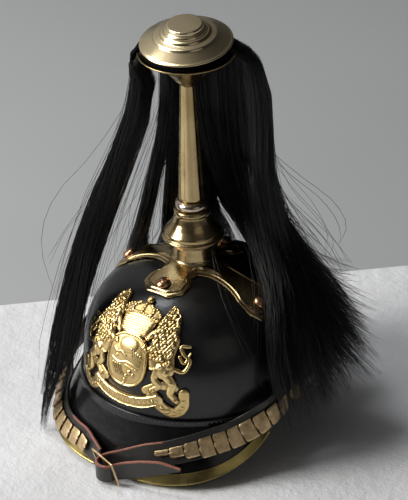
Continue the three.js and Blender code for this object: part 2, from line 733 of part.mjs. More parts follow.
// Splits every edge longer than the limit, the same way in both of its faces.
function refined(geometry, longest) {
  const bare = welded(geometry);
  const source = bare.getAttribute('position');
  const pointAt = (_, i) => new THREE.Vector3().fromBufferAttribute(source, i);
  const points = Array.from({ length: source.count }, pointAt);
  const index = Array.from(bare.getIndex().array);
  let faces = Array.from({ length: index.length / 3 }, (_, i) => index.slice(3 * i, 3 * i + 3));
  let split = true;
  while (split) {
    split = false;
    const middles = new Map();
    const middleOf = (a, b) => {
      if (points[a].distanceTo(points[b]) <= longest) return null;
      const key = a < b ? `${a},${b}` : `${b},${a}`;
      if (!middles.has(key)) middles.set(key, points.push(points[a].clone().lerp(points[b], 0.5)) - 1);
      return middles.get(key);
    };
    faces = faces.flatMap((face) => {
      const middle = face.map((a, k) => middleOf(a, face[(k + 1) % 3]));
      const cuts = middle.filter((m) => m !== null).length;
      if (cuts === 0) return [face];
      split = true;
      if (cuts === 3) {
        const [a, b, c] = face;
        const [ab, bc, ca] = middle;
        return [[a, ab, ca], [ab, b, bc], [ca, bc, c], [ab, bc, ca]];
      }
      const firstCut = middle.findIndex((m) => m !== null);
      const firstWhole = middle.findIndex((m) => m === null);
      const turn = cuts === 1 ? firstCut : (firstWhole + 1) % 3;
      const [a, b, c] = [0, 1, 2].map((k) => face[(turn + k) % 3]);
      const [ab, bc] = [0, 1].map((k) => middle[(turn + k) % 3]);
      if (cuts === 1) return [[a, ab, c], [ab, b, c]];
      return [[a, ab, c], [ab, bc, c], [ab, b, bc]];
    });
  }
  return geometryFrom(points, faces.flat());
}

// Arc length up the skull's front rib, so that v is measured along the leather.
const RIB = (() => {
  const rows = [{ arc: 0, level: 0 }];
  const steps = 400;
  for (let i = 1; i <= steps; i += 1) {
    const level = i / steps;
    const stride = skullPoint(0, level).distanceTo(skullPoint(0, (i - 1) / steps));
    rows.push({ arc: rows.at(-1).arc + stride, level });
  }
  return rows;
})();

function levelAt(arc) {
  const next = RIB.findIndex((row) => row.arc > arc);
  const high = RIB[next];
  const low = RIB[next - 1];
  return low.level + ((arc - low.arc) / (high.arc - low.arc)) * (high.level - low.level);
}

function bentOnSkull(geometry, lift) {
  const position = geometry.getAttribute('position');
  for (let i = 0; i < position.count; i += 1) {
    const level = levelAt(position.getY(i));
    const ratio = (1 - level ** SKULL.crownPower) ** (1 / SKULL.shoulderPower);
    const angle = position.getX(i) / (ratio * SKULL.halfWidth);
    const point = skullPoint(angle, level);
    point.addScaledVector(skullNormal(angle, level), lift + position.getZ(i));
    position.setXYZ(i, point.x, point.y, point.z);
  }
  return geometry;
}

// The lift covers the chord of a face of the bent plate against the round skull.
add('crest', bentOnSkull(refined(crestFlat(), CREST.longestEdge), GAP + 0.25), GILT);

// ---------- chin strap ----------

const STRAP = { thick: 2.2 };

function onVisor(turn, drop, clear) {
  const { rim, root, normal } = visorFrame(frontRim, turn);
  return root.clone().lerp(rim, drop).addScaledVector(normal, clear);
}

// A row of a strap's route: centre of the leather, the way up it and half its height. Lean is
// how far the strap's foot stands out, in degrees.
function leaning(x, y, z, half, lean = 0) {
  const inward = new THREE.Vector3(-x, -y, 0).normalize();
  const up = new THREE.Vector3(0, 0, 1).addScaledVector(inward, Math.tan(THREE.MathUtils.degToRad(lean)));
  return { at: new THREE.Vector3(x, y, z), up: up.normalize(), half };
}

function lyingOnVisor(turn, drop, clear, half) {
  return { at: onVisor(turn, drop, clear), up: visorFrame(frontRim, turn).down.negate(), half };
}

// The right strap runs from its boss round the visor, through the buckle, and doubles back
// outside itself as a free tab.
const RIGHT_ROUTE = [
  leaning(101.6, -6.5, 59, 10.5),
  leaning(102.4, -22, 56.8, 10.7, 3),
  leaning(101, -37, 53, 10.8, 10),
  leaning(96, -50, 48.2, 10.8, 22),
  lyingOnVisor(1.17, 0.26, 4.6, 10.8),
  lyingOnVisor(1, 0.29, 3.4, 10.8),
  lyingOnVisor(0.8, 0.34, 2.8, 10.7),
  lyingOnVisor(0.6, 0.4, 2.8, 10.4),
  lyingOnVisor(0.42, 0.47, 3.2, 10),
  lyingOnVisor(0.25, 0.54, 4.2, 9.5),
  leaning(9.6, -117.2, 15.8, 8.8, 12),
  leaning(0.4, -121.2, 13.2, 8.4, 2),
  leaning(-4.6, -125.6, 11.6, 8),
  leaning(-4.8, -130.6, 11, 7.8),
  leaning(-0.6, -134.6, 10.9, 7.8),
  leaning(5.4, -135.4, 10.9, 7.8),
  leaning(10, -133, 10.9, 7.8),
  leaning(11.8, -128.6, 11, 7.8),
  leaning(16.4, -124.4, 11.8, 7.8),
  leaning(25, -121.4, 14.6, 7.8),
  leaning(35, -118.6, 17.8, 7.5),
  leaning(49, -113.8, 21, 6),
  leaning(65, -108.6, 22.4, 1.4),
];
// The left strap hangs lower and ends behind the buckle.
const LEFT_ROUTE = [
  leaning(-101.6, -6.5, 59, 10.5),
  leaning(-102.4, -22, 55, 10.7, 2),
  leaning(-101.8, -37, 48.8, 10.8, 8),
  leaning(-97.8, -51, 41.4, 10.6, 18),
  lyingOnVisor(-1.16, 0.5, 4.4, 10.4),
  lyingOnVisor(-0.98, 0.62, 3.6, 10.2),
  lyingOnVisor(-0.8, 0.69, 3.4, 9.9),
  lyingOnVisor(-0.62, 0.7, 3.4, 9.6),
  lyingOnVisor(-0.44, 0.69, 3.4, 9.4),
  lyingOnVisor(-0.28, 0.68, 3.6, 9.2),
  leaning(-11, -120.75, 13.2, 8.6, 10),
];

// Evenly spread frames along a strap: place, up, outward and half height.
function strapFrames(rows, perRow) {
  const line = new THREE.CatmullRomCurve3(rows.map((row) => row.at), false, 'centripetal');
  const total = (rows.length - 1) * perRow;
  return Array.from({ length: total + 1 }, (_, i) => {
    const place = i / perRow;
    const row = Math.min(Math.floor(place), rows.length - 2);
    const share = place - row;
    const along = line.getTangent(i / total);
    const up = rows[row].up.clone().lerp(rows[row + 1].up, share);
    up.addScaledVector(along, -up.dot(along)).normalize();
    const half = rows[row].half * (1 - share) + rows[row + 1].half * share;
    const out = up.clone().cross(along).normalize();
    return { at: line.getPoint(i / total), up, out, half };
  });
}

function strapBand(frames) {
  const t = STRAP.thick / 2;
  const rings = frames.map(({ at, up, out, half }) => [[-t, -half], [t, -half], [t, half], [-t, half]].map(
    ([outward, upward]) => at.clone().addScaledVector(out, outward).addScaledVector(up, upward)));
  return loft(rings, [[0, 1, 2], [0, 2, 3]]);
}

const rightFrames = strapFrames(RIGHT_ROUTE, 3);
const leftFrames = strapFrames(LEFT_ROUTE, 3);
add('strap_right', strapBand(rightFrames), STRAP_LEATHER);
add('strap_left', strapBand(leftFrames), STRAP_LEATHER);

// A scale's outline: a straight rear edge and a bracket-shaped front edge with a middle point.
// The plate bends at half its length.
const SCALE = { length: 14.8, thick: 0.9, lift: 0.45, slope: 0.14, pitch: 12.1, firstAt: 14.4 };
const RIGHT_SCALES = { count: 10, taper: 4.2 };
const LEFT_SCALES = { count: 12, taper: 1.4 };

function scaleOutline(half) {
  const { length } = SCALE;
  const front = [[0.9, -1], [1, -0.8], [1.01, -0.5], [0.95, -0.2], [1.06, 0], [0.95, 0.2], [1.01, 0.5],
    [1, 0.8], [0.9, 1]];
  return [[0, -half], [length / 2, -half], ...front.map(([along, up]) => [along * length, up * half]),
    [length / 2, half], [0, half]];
}

// Half height of a scale and how far above the leather's middle it sits, by its number. The
// last ones shrink to a tip near the top edge of the leather.
function scaleSize(number, row, leatherHalf) {
  const share = Math.min((row.count + 0.2 - number) / row.taper, 1) ** 0.9;
  return { half: (leatherHalf - 2.7) * share, middle: 2.6 - 5.4 * share };
}

function frameAt(frames, distance) {
  let travelled = 0;
  for (let i = 0; i + 1 < frames.length; i += 1) {
    const stride = frames[i].at.distanceTo(frames[i + 1].at);
    if (travelled + stride >= distance) {
      const share = (distance - travelled) / stride;
      const mix = (key) => frames[i][key].clone().lerp(frames[i + 1][key], share);
      return { at: mix('at'), up: mix('up').normalize(), out: mix('out').normalize(), half: frames[i].half };
    }
    travelled += stride;
  }
  return frames.at(-1);
}

// Each plate follows the strap, its front edge lifted over the rear edge of the next one.
function scalePlate(frames, row, number, side) {
  const middle = SCALE.firstAt + number * SCALE.pitch;
  const size = scaleSize(number, row, frameAt(frames, middle).half);
  const place = (along, up, out) => {
    const frame = frameAt(frames, middle - SCALE.length / 2 + along);
    const clear = STRAP.thick / 2 + SCALE.lift + SCALE.slope * along + out;
    return frame.at.clone()
      .addScaledVector(frame.up, up + size.middle)
      .addScaledVector(frame.out, side * clear);
  };
  const outline = scaleOutline(size.half);
  const rings = [0, SCALE.thick].map((out) => outline.map(([along, up]) => place(along, up, out)));
  const last = outline.length - 1;
  const fore = outline.slice(1, last).map(([a, b]) => new THREE.Vector2(a, b));
  const foreFaces = THREE.ShapeUtils.triangulateShape(fore, []);
  const shifted = foreFaces.map((face) => face.map((corner) => corner + 1));
  return loft(rings, [[0, 1, last], [1, last - 1, last], ...shifted]);
}

function addScales(name, frames, row, side) {
  for (let i = 0; i < row.count; i += 1) {
    const number = String(i + 1).padStart(2, '0');
    add(`${name}_${number}`, scalePlate(frames, row, i, side), SCALE_BRASS);
  }
}

addScales('scale_right', rightFrames, RIGHT_SCALES, 1);
addScales('scale_left', leftFrames, LEFT_SCALES, -1);

// ---------- buckle and bosses ----------

// The buckle is a flat rectangular frame with a middle bar, and the right strap turns round
// that bar. Its upper bar runs from left to right, and its end bars lean in at the foot.
const BUCKLE = {
  corner: new THREE.Vector3(-13.2, -126, 23.8),
  across: new THREE.Vector3(29.1, -10.4, 0),
  down: new THREE.Vector3(4.4, 5, -22.3),
  width: 2.2,
  edge: 1.1,
  middle: 15,
  thick: 1.3,
};

function bar(x0, y0, x1, y1, thick) {
  return toSolid(new THREE.BoxGeometry(x1 - x0, y1 - y0, thick).translate((x0 + x1) / 2, (y0 + y1) / 2, 0));
}

function buckle() {
  const { corner, across, down, width, edge, middle, thick } = BUCKLE;
  const length = across.length();
  const height = down.length();
  const frame = bar(0, 0, length, height, thick)
    .subtract(bar(width, edge, middle, height - edge, 2 * thick))
    .subtract(bar(middle + width, edge, length - width, height - edge, 2 * thick));
  const x = across.clone().normalize();
  const y = down.clone().addScaledVector(x, -down.dot(x)).normalize();
  const turn = new THREE.Matrix4().makeBasis(x, y, x.clone().cross(y)).setPosition(corner);
  return fromSolid(frame).applyMatrix4(turn);
}

add('buckle_frame', buckle(), BRASS);

// A plain boss on a short post holds each end of the strap to the side of the skull.
const BOSS = { y: -0.5, z: 58.8, radius: 11, face: 103.2, post: 3, thick: 3.2 };

function boss(side) {
  const skullSide = SKULL.halfWidth + GAP;
  const reach = BOSS.face - skullSide;
  const profile = [[0, 0], [BOSS.post, 0], [BOSS.post, reach], [BOSS.radius, reach], [BOSS.radius, reach + 1],
    [BOSS.radius - 2, reach + BOSS.thick - 0.6], [4, reach + BOSS.thick], [0, reach + BOSS.thick]];
  const geometry = turned(profile, 18);
  geometry.rotateY(side * (Math.PI / 2));
  geometry.translate(side * skullSide, BOSS.y, BOSS.z);
  return geometry;
}

add('chin_boss_right', boss(1), BRASS);
add('chin_boss_left', boss(-1), BRASS);

// ---------- place the whole on the table ----------

helmet.updateMatrixWorld(true);
const box = new THREE.Box3().setFromObject(helmet, true);
helmet.position.set(-(box.min.x + box.max.x) / 2, -(box.min.y + box.max.y) / 2, -box.min.z);
helmet.updateMatrixWorld(true);

export default helmet;
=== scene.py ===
"""Spiked parade helmet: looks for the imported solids. Shapes are worked out in millimetres about
the stem's axis, with heights above the table line of the solids, and placed in metres."""

import math

import bmesh
import bpy
import numpy as np
from mathutils import Matrix, Vector


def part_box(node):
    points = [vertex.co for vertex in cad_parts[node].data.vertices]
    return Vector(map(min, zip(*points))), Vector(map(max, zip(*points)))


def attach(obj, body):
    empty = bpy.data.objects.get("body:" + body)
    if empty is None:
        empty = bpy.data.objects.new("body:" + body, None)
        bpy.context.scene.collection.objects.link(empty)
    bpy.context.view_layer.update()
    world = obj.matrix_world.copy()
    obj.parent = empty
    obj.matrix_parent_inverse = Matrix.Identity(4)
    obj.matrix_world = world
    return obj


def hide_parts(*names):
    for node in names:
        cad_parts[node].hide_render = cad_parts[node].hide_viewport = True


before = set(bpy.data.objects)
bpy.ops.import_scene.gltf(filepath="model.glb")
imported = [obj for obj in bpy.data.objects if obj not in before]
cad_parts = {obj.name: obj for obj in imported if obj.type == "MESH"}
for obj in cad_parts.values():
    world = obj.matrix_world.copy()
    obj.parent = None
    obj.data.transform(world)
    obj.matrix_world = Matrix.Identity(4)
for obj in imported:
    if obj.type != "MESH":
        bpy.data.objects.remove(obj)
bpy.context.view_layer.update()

# ---------- places shared with the solids, in millimetres ----------

collar_low, collar_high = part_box("stem_collar")
COLLAR_FOOT = 166.6
ORIGIN = np.array([
    (collar_low.x + collar_high.x) / 2,
    (collar_low.y + collar_high.y) / 2,
    collar_low.z - COLLAR_FOOT / 1000,
])

GAP = 0.3  # the air between pieces that touch
LEATHER = 2.4
FLANGE_TOP = 50.6
VISOR_ROOT = 45.8
SKULL = {
    "half": 93.9, "front": 96.2, "back": 103, "seam": 48.4, "dome": 96,
    "crown": 3.0, "shoulder": 2.26, "bottom": 43, "wall": 2.5,
}
FRONT_RIM = {
    "half": 98.8, "side_y": -23.4, "reach": 94.1, "power": 2.55,
    "side_z": 45.4, "drop": 43, "sweep": 0.42,
}
REAR_RIM = {
    "half": 98.5, "side_y": -8, "reach": 127, "power": 2.5,
    "side_z": 42, "flat": 0.42, "sweep": 1.4,
}
OPEN_SIDE = 38.5  # where the plume parts, in degrees round from the front

UP = np.array([0.0, 0.0, 1.0])
CAMERA = {"azimuth": 38.47, "elevation": 30.23, "roll": 1.99, "distance": 2895.74, "lens": 255.03}
TARGET = (11.94, -1.45, 159.4)
AZIMUTH, ELEVATION = math.radians(CAMERA["azimuth"]), math.radians(CAMERA["elevation"])
IMAGE_RIGHT = np.array([math.cos(AZIMUTH), math.sin(AZIMUTH), 0])
TO_CAMERA = np.array([math.sin(AZIMUTH), -math.cos(AZIMUTH), 0])
rng = np.random.default_rng(7)


# ---------- mesh helpers ----------

def unit(vectors):
    vectors = np.asarray(vectors, float)
    return vectors / np.maximum(np.linalg.norm(vectors, axis=-1, keepdims=True), 1e-9)


def full_turn(count):
    """Evenly spaced angles, once round."""
    return np.linspace(0, 2 * np.pi, count, endpoint=False)


def walked(line):
    """How far along a line each of its points lies."""
    return np.concatenate([[0], np.cumsum(np.linalg.norm(np.diff(line, axis=0), axis=1))])


def sampled(places, walk, rows):
    """The rows that go with a walk, read off at places along it."""
    return np.stack([np.interp(places, walk, column) for column in rows.T], -1)


def placed(points):
    """Points in the frame's metres."""
    return np.asarray(points, float) / 1000 + ORIGIN


def seated(turn, seat):
    """A rotation and a place as one matrix."""
    matrix = np.eye(4)
    matrix[:3, :3] = turn
    matrix[:3, 3] = seat
    return matrix


def shown(name, data):
    """A new object in the scene."""
    made = bpy.data.objects.new(name, data)
    bpy.context.scene.collection.objects.link(made)
    return made


def store_values(mesh, name, values):
    store = mesh.attributes.new(name, "FLOAT", "POINT")
    store.data.foreach_set("value", np.asarray(values, np.float32))


def finish_piece(piece, finish, replaces=()):
    """Gives a piece its material, its body and the solids that it stands for."""
    piece.data.materials.append(finish)
    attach(piece, "root")
    if replaces:
        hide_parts(*replaces)
    return piece


def soften(mesh, angle=38):
    """Smooth shading with creases kept where faces meet sharply."""
    mesh.polygons.foreach_set("use_smooth", np.ones(len(mesh.polygons), bool))
    if angle:
        mesh.set_sharp_from_angle(angle=math.radians(angle))


def object_from(name, points, faces, angle=38):
    """A closed form with its faces turned outwards."""
    mesh = bpy.data.meshes.new(name)
    mesh.from_pydata(placed(points).tolist(), [], faces)
    work = bmesh.new()
    work.from_mesh(mesh)
    bmesh.ops.recalc_face_normals(work, faces=work.faces)
    work.to_mesh(mesh)
    work.free()
    soften(mesh, angle)
    return shown(name, mesh)


class Body:
    """Collects points and faces of one or more closed forms."""

    def __init__(self):
        self.points = []
        self.faces = []
        self.values = []

    def add_points(self, points, value=0.0):
        start = len(self.points)
        points = np.asarray(points, float).reshape(-1, 3)
        self.points.extend(points.tolist())
        self.values.extend(np.broadcast_to(value, len(points)).tolist())
        return start

    def loft(self, rings, fans=False, values=None):
        """A skin over rings of points, closed at both ends by one flat face or by a fan."""
        rings = np.asarray(rings, float)
        rows, count = rings.shape[:2]
        start = self.add_points(rings, 0.0 if values is None else np.asarray(values, float).ravel())
        for i in range(rows - 1):
            for j in range(count):
                a = start + i * count + j
                b = start + i * count + (j + 1) % count
                self.faces.append((a, b, b + count, a + count))
        for row in (0, rows - 1):
            end = start + row * count
            around = list(range(end, end + count))
            if fans:
                hub = self.add_points(np.mean(rings[row], axis=0), self.values[end])
                self.faces.extend((hub, around[j], around[(j + 1) % count]) for j in range(count))
            else:
                self.faces.append(tuple(around if row else around[::-1]))

    def piece(self, name, angle=38, attribute=None):
        made = object_from(name, self.points, self.faces, angle)
        if attribute:
            store_values(made.data, attribute, self.values)
        return made


def curve_points(rows, count):
    """Points along a smooth line through the rows, evenly spread over the row numbers. The line is
    a centripetal spline, which doesn't loop or overshoot between rows."""
    rows = np.asarray(rows, float)
    n = len(rows)
    out = []
    for place in np.linspace(0, n - 1, count):
        i = min(int(place), n - 2)
        w = place - i
        p1, p2 = rows[i], rows[i + 1]
        p0 = rows[i - 1] if i > 0 else 2 * rows[0] - rows[1]
        p3 = rows[i + 2] if i + 2 < n else 2 * rows[-1] - rows[-2]
        d1 = max(((p2 - p1) ** 2).sum() ** 0.25, 1e-4)
        d0 = max(((p1 - p0) ** 2).sum() ** 0.25, 1e-4)
        d2 = max(((p3 - p2) ** 2).sum() ** 0.25, 1e-4)
        t1 = ((p1 - p0) / d0 - (p2 - p0) / (d0 + d1) + (p2 - p1) / d1) * d1
        t2 = ((p2 - p1) / d1 - (p3 - p1) / (d1 + d2) + (p3 - p2) / d2) * d1
        out.append(p1 + t1 * w + (3 * (p2 - p1) - 2 * t1 - t2) * w**2 + (2 * (p1 - p2) + t1 + t2) * w**3)
    return np.array(out)


def eased(corners, cut, steps=4, closed=True):
    """The polygon with each corner rounded: cut is how far back along the edges a corner starts,
    in millimetres, one number or one for each corner."""
    corners = np.asarray(corners, float)
    n = len(corners)
    cuts = np.broadcast_to(np.asarray(cut, float), n)
    out = []
    for i in range(n):
        here = corners[i]
        if not closed and i in (0, n - 1):
            out.append(here)
            continue
        before, after = corners[i - 1], corners[(i + 1) % n]
        back = np.linalg.norm(before - here)
        ahead = np.linalg.norm(after - here)
        start = here + (before - here) * min(cuts[i] / back, 0.48)
        end = here + (after - here) * min(cuts[i] / ahead, 0.48)
        for t in np.linspace(0, 1, steps):
            out.append((1 - t) ** 2 * start + 2 * t * (1 - t) * here + t**2 * end)
    return np.array(out)


def revolve(body, profile, segments=96, matrix=None):
    """A turned closed form about the Z axis. The profile starts and ends on the axis."""
    profile = np.asarray(profile, float)[1:-1]
    turns = full_turn(segments)
    rings = np.stack([
        profile[:, :1] * np.cos(turns), profile[:, :1] * np.sin(turns),
        np.broadcast_to(profile[:, 1:2], (len(profile), segments)),
    ], -1)
    if matrix is not None:
        rings = rings @ matrix[:3, :3].T + matrix[:3, 3]
    body.loft(rings, fans=True)


def turned(name, profile, cut, segments, matrix=None, angle=40):
    """A turned piece, from a profile whose corners are rounded."""
    body = Body()
    revolve(body, eased(profile, cut, 5, closed=False), segments, matrix)
    return body.piece(name, angle)


# ---------- materials ----------

def add_node(tree, kind, inputs=None, **settings):
    """A shader node. Each input is a socket to link or a value to set."""
    made = tree.nodes.new("ShaderNode" + kind)
    for key, value in settings.items():
        setattr(made, key, value)
    for key, value in (inputs or {}).items():
        if isinstance(value, bpy.types.NodeSocket):
            tree.links.new(value, made.inputs[key])
        else:
            made.inputs[key].default_value = value
    return made


def add_ramp(tree, source, stops):
    """A colour ramp. Each stop is a place and a colour."""
    made = add_node(tree, "ValToRGB", {"Fac": source})
    elements = made.color_ramp.elements
    while len(elements) < len(stops):
        elements.new(0.5)
    for element, (place, colour) in zip(elements, stops):
        element.position = place
        element.color = (*colour, 1)
    return made.outputs[0]


class Finish:
    """A node material with one Principled shader."""

    def __init__(self, name, **constants):
        self.material = bpy.data.materials.new(name)
        self.material.use_nodes = True
        self.tree = self.material.node_tree
        self.tree.nodes.clear()
        self.shader = self.node("BsdfPrincipled", constants)
        output = self.node("OutputMaterial")
        self.tree.links.new(self.shader.outputs[0], output.inputs[0])
        self.place = self.node("TexCoord").outputs["Object"]

    def node(self, kind, inputs=None, **settings):
        return add_node(self.tree, kind, inputs, **settings)

    def noise(self, scale, detail=3, rough=0.55):
        return self.node("TexNoise", {
            "Vector": self.place, "Scale": scale, "Detail": detail, "Roughness": rough,
        }).outputs[0]

    def value(self, name):
        return self.node("Attribute", attribute_name=name).outputs["Fac"]

    def spread(self, source, low, high, to_low=0.0, to_high=1.0):
        return self.node("MapRange", {
            "Value": source, "From Min": low, "From Max": high, "To Min": to_low, "To Max": to_high,
        }).outputs[0]

    def ramp(self, source, *stops):
        return add_ramp(self.tree, source, stops)

    def mix(self, share, a, b):
        """Colour a turning into colour b. The numbers are the Mix node's own colour sockets."""
        a, b = ((*value, 1) if isinstance(value, tuple) else value for value in (a, b))
        return self.node("Mix", {0: share, 6: a, 7: b}, data_type="RGBA").outputs[2]

    def bump(self, height, distance, strength=1.0, under=None):
        inputs = {"Height": height, "Distance": distance, "Strength": strength}
        if under is not None:
            inputs["Normal"] = under
        return self.node("Bump", inputs).outputs[0]

    def set(self, **sockets):
        """Links the shader's sockets and gives the finished material."""
        for key, value in sockets.items():
            self.tree.links.new(value, self.shader.inputs[key.replace("_", " ")])
        return self.material


def leather_finish(name, gloss):
    """Waxed black leather. Gloss: its roughness where it is smoothest and where it is dullest."""
    f = Finish(name, **{"IOR": 1.46, "Coat Weight": 0.15, "Coat Roughness": 0.1})
    wear = f.noise(38, 4)
    colour = f.ramp(wear, (0.3, (0.0024, 0.0024, 0.0026)), (0.75, (0.0058, 0.0056, 0.0054)))
    rough = f.spread(f.noise(90, 5, 0.65), 0.3, 0.75, *gloss)
    grain = f.node("TexVoronoi", {"Vector": f.place, "Scale": 1100.0}).outputs["Distance"]
    bump = f.bump(grain, 0.00005, 0.5)
    bump = f.bump(f.noise(300, 4), 0.00012, 0.5, bump)
    bump = f.bump(f.noise(28, 3), 0.0012, 0.5, bump)
    return f.set(Base_Color=colour, Roughness=rough, Normal=bump)


def strap_finish():
    """Black on the faces, raw tan along the worn edges."""
    f = Finish("strap_leather", **{"IOR": 1.5, "Coat Weight": 0.15, "Coat Roughness": 0.2})
    grain = f.noise(700, 5, 0.6)
    black = f.ramp(grain, (0.3, (0.012, 0.011, 0.010)), (0.8, (0.03, 0.028, 0.025)))
    tan = f.ramp(f.noise(500, 4), (0.3, (0.16, 0.050, 0.030)), (0.75, (0.36, 0.135, 0.085)))
    bare = f.spread(f.value("bare"), 0.35, 0.65)
    colour = f.mix(bare, black, tan)
    rough = f.spread(f.value("bare"), 0.2, 0.8, 0.33, 0.62)
    bump = f.bump(grain, 0.00015, 0.6)
    return f.set(Base_Color=colour, Roughness=rough, Normal=bump)


def metal_finish(name, bright, dull, smooth):
    """Worn metal. Smooth: its roughness where it is brightest polished and where it is dullest."""
    f = Finish(name, **{"Metallic": 1.0})
    age = f.noise(22, 3, 0.5)
    colour = f.ramp(age, (0.34, dull), (0.6, bright))
    wear = f.noise(66, 3, 0.5)
    rough = f.spread(wear, 0.35, 0.7, *smooth)
    bump = f.bump(f.noise(900, 2), 0.00001, 0.2)
    bump = f.bump(f.noise(40, 2), 0.0001, 0.12, bump)
    return f.set(Base_Color=colour, Roughness=rough, Normal=bump)


def scale_finish():
    """Dull tan brass, with painted shadow in black where a plate comes out from under the next."""
    f = Finish("scale_brass", **{"Metallic": 1.0})
    tone = f.noise(130, 5, 0.6)
    clean = f.ramp(
        tone, (0.3, (0.42, 0.29, 0.14)), (0.55, (0.68, 0.50, 0.28)), (0.8, (0.78, 0.62, 0.40)))
    under_edge_shade = f.spread(f.value("under_edge_shade"), 0.2, 0.7)
    # painted shadow: a plate goes almost black where the plate before it lies over it
    colour = f.mix(under_edge_shade, clean, (0.018, 0.013, 0.008))
    rough = f.spread(f.noise(300, 4), 0.3, 0.75, 0.32, 0.5)
    bump = f.bump(f.noise(700, 3), 0.00004, 0.4)
    return f.set(Base_Color=colour, Roughness=rough, Normal=bump)


def gilt_finish():
    """Bright on the high relief and dark in its hollows, from the relief stored on the points."""
    f = Finish("gilt", **{"Metallic": 1.0})
    high = f.value("relief")
    clean = f.ramp(f.noise(70, 4), (0.3, (0.70, 0.50, 0.20)), (0.7, (0.86, 0.66, 0.32)))
    colour = f.mix(f.spread(high, 0.25, 0.6), (0.24, 0.145, 0.045), clean)
    rough = f.spread(high, 0.2, 0.8, 0.42, 0.24)
    bump = f.bump(f.noise(800, 3), 0.00006, 0.6)
    return f.set(Base_Color=colour, Roughness=rough, Normal=bump)


def hair_finish():
    """Glossy strands of slightly different blacks."""
    f = Finish("horsehair", **{"IOR": 1.45})
    shade = f.value("shade")
    colour = f.ramp(shade, (0.0, (0.0015, 0.0015, 0.0016)), (1.0, (0.008, 0.0082, 0.009)))
    rough = f.spread(shade, 0, 1, 0.2, 0.5)
    bump = f.bump(f.noise(900, 2), 0.00002, 0.3)
    return f.set(Base_Color=colour, Roughness=rough, Normal=bump)


def hair_shadow_finish():
    """The inside of the plume, between its strands, painted dark and matte as shade."""
    f = Finish("horsehair_inside_shade", **{"IOR": 1.15})
    tone = f.noise(500, 3)
    return f.set(
        Base_Color=f.ramp(tone, (0.3, (0.001, 0.001, 0.001)), (0.7, (0.0035, 0.0035, 0.0037))),
        Roughness=f.spread(tone, 0, 1, 0.7, 0.95),
        Normal=f.bump(tone, 0.0004, 0.6),
    )


def thread_finish():
    """Dark thread with a dull shine."""
    f = Finish("waxed_thread", **{"IOR": 1.5})
    tone = f.noise(900, 3)
    return f.set(
        Base_Color=f.ramp(tone, (0.3, (0.02, 0.02, 0.022)), (0.8, (0.09, 0.09, 0.092))),
        Roughness=f.spread(tone, 0, 1, 0.25, 0.4),
        Normal=f.bump(f.noise(2500, 2), 0.0001, 0.6),
    )


BLACK = leather_finish("black_leather", (0.27, 0.4))
POLISHED = leather_finish("polished_leather", (0.14, 0.26))
STRAP = strap_finish()
BRASS = metal_finish("brass", (0.50, 0.385, 0.20), (0.33, 0.23, 0.105), (0.18, 0.32))
CAP_BRASS = metal_finish("cap_brass", (0.84, 0.70, 0.44), (0.70, 0.55, 0.32), (0.2, 0.25))
TRIM_BRASS = metal_finish("trim_brass", (0.46, 0.36, 0.13), (0.27, 0.20, 0.07), (0.2, 0.36))
SCALE_BRASS = scale_finish()
COPPER = metal_finish("copper", (0.55, 0.30, 0.17), (0.36, 0.19, 0.10), (0.22, 0.4))
SILVER = metal_finish("silver", (0.64, 0.54, 0.44), (0.44, 0.34, 0.26), (0.16, 0.3))
GILT = gilt_finish()
HAIR = hair_finish()
HAIR_INSIDE_SHADE = hair_shadow_finish()
THREAD = thread_finish()


# ---------- skull ----------

def skull_point(angle, level, grow=0.0):
    """A place on the skull: angle round from the front, level from 0 at the seam to 1 on top, and
    grow outside its outer face."""
    angle, level = np.broadcast_arrays(np.asarray(angle, float), np.asarray(level, float))
    ratio = np.maximum(1 - np.clip(level, 0, 1) ** SKULL["crown"], 0) ** (1 / SKULL["shoulder"])
    reach = np.where(np.cos(angle) > 0, SKULL["front"], SKULL["back"])
    return np.stack([
        (SKULL["half"] + grow) * ratio * np.sin(angle),
        -(reach + grow) * ratio * np.cos(angle),
        SKULL["seam"] + (SKULL["dome"] + grow) * level,
    ], -1)


def skull_height(x, y):
    """How high the skull's outer face is over a place on the table."""
    reach = np.where(np.asarray(y) < 0, SKULL["front"], SKULL["back"])
    ratio = np.minimum(np.hypot(x / SKULL["half"], y / reach), 0.999)
    return SKULL["seam"] + SKULL["dome"] * (1 - ratio ** SKULL["shoulder"]) ** (1 / SKULL["crown"])


def skull_normal(angle, level):
    """The way straight out of the skull."""
    step = 0.01
    low = np.minimum(level, 0.98)
    ring = skull_point(angle + step, low) - skull_point(angle - step, low)
    rib = skull_point(angle, low + step) - skull_point(angle, np.maximum(low - step, 0))
    return unit(np.cross(ring, rib))


def build_skull():
    """A hollow dome with rounded edges at its rim."""
    turns = full_turn(160)
    ratios = np.linspace(0.8, 0.02, 26)
    top = (1 - ratios ** SKULL["shoulder"]) ** (1 / SKULL["crown"])
    levels = np.concatenate([np.linspace(0, top[0], 22)[:-1], top])
    outer = [skull_point(turns, level) for level in levels]
    inner = [skull_point(turns, level, -SKULL["wall"]) for level in levels]

    def straight(grow, z):
        ring = skull_point(turns, 0, grow)
        ring[:, 2] = z
        return ring

    wall, bottom = SKULL["wall"], SKULL["bottom"]
    edge = [
        straight(-wall, bottom + 0.6), straight(-wall + 0.5, bottom), straight(-0.5, bottom),
        straight(0, bottom + 0.6),
    ]
    body = Body()
    body.loft([*inner[::-1], *edge, *outer], fans=True)
    finish_piece(body.piece("leather_skull"), BLACK, ["skull"])


# ---------- visors and trim ----------

def signed_power(value, exponent):
    return np.sign(value) * abs(value) ** exponent


def front_rim(turn):
    """The front peak's edge, which sinks towards its middle."""
    r = FRONT_RIM
    bend = 2 / r["power"]
    return np.array([
        r["half"] * signed_power(math.sin(turn), bend),
        r["side_y"] - r["reach"] * max(math.cos(turn), 0) ** bend,
        r["side_z"] - r["drop"] * max(math.cos(turn), 0) ** r["sweep"],
    ])


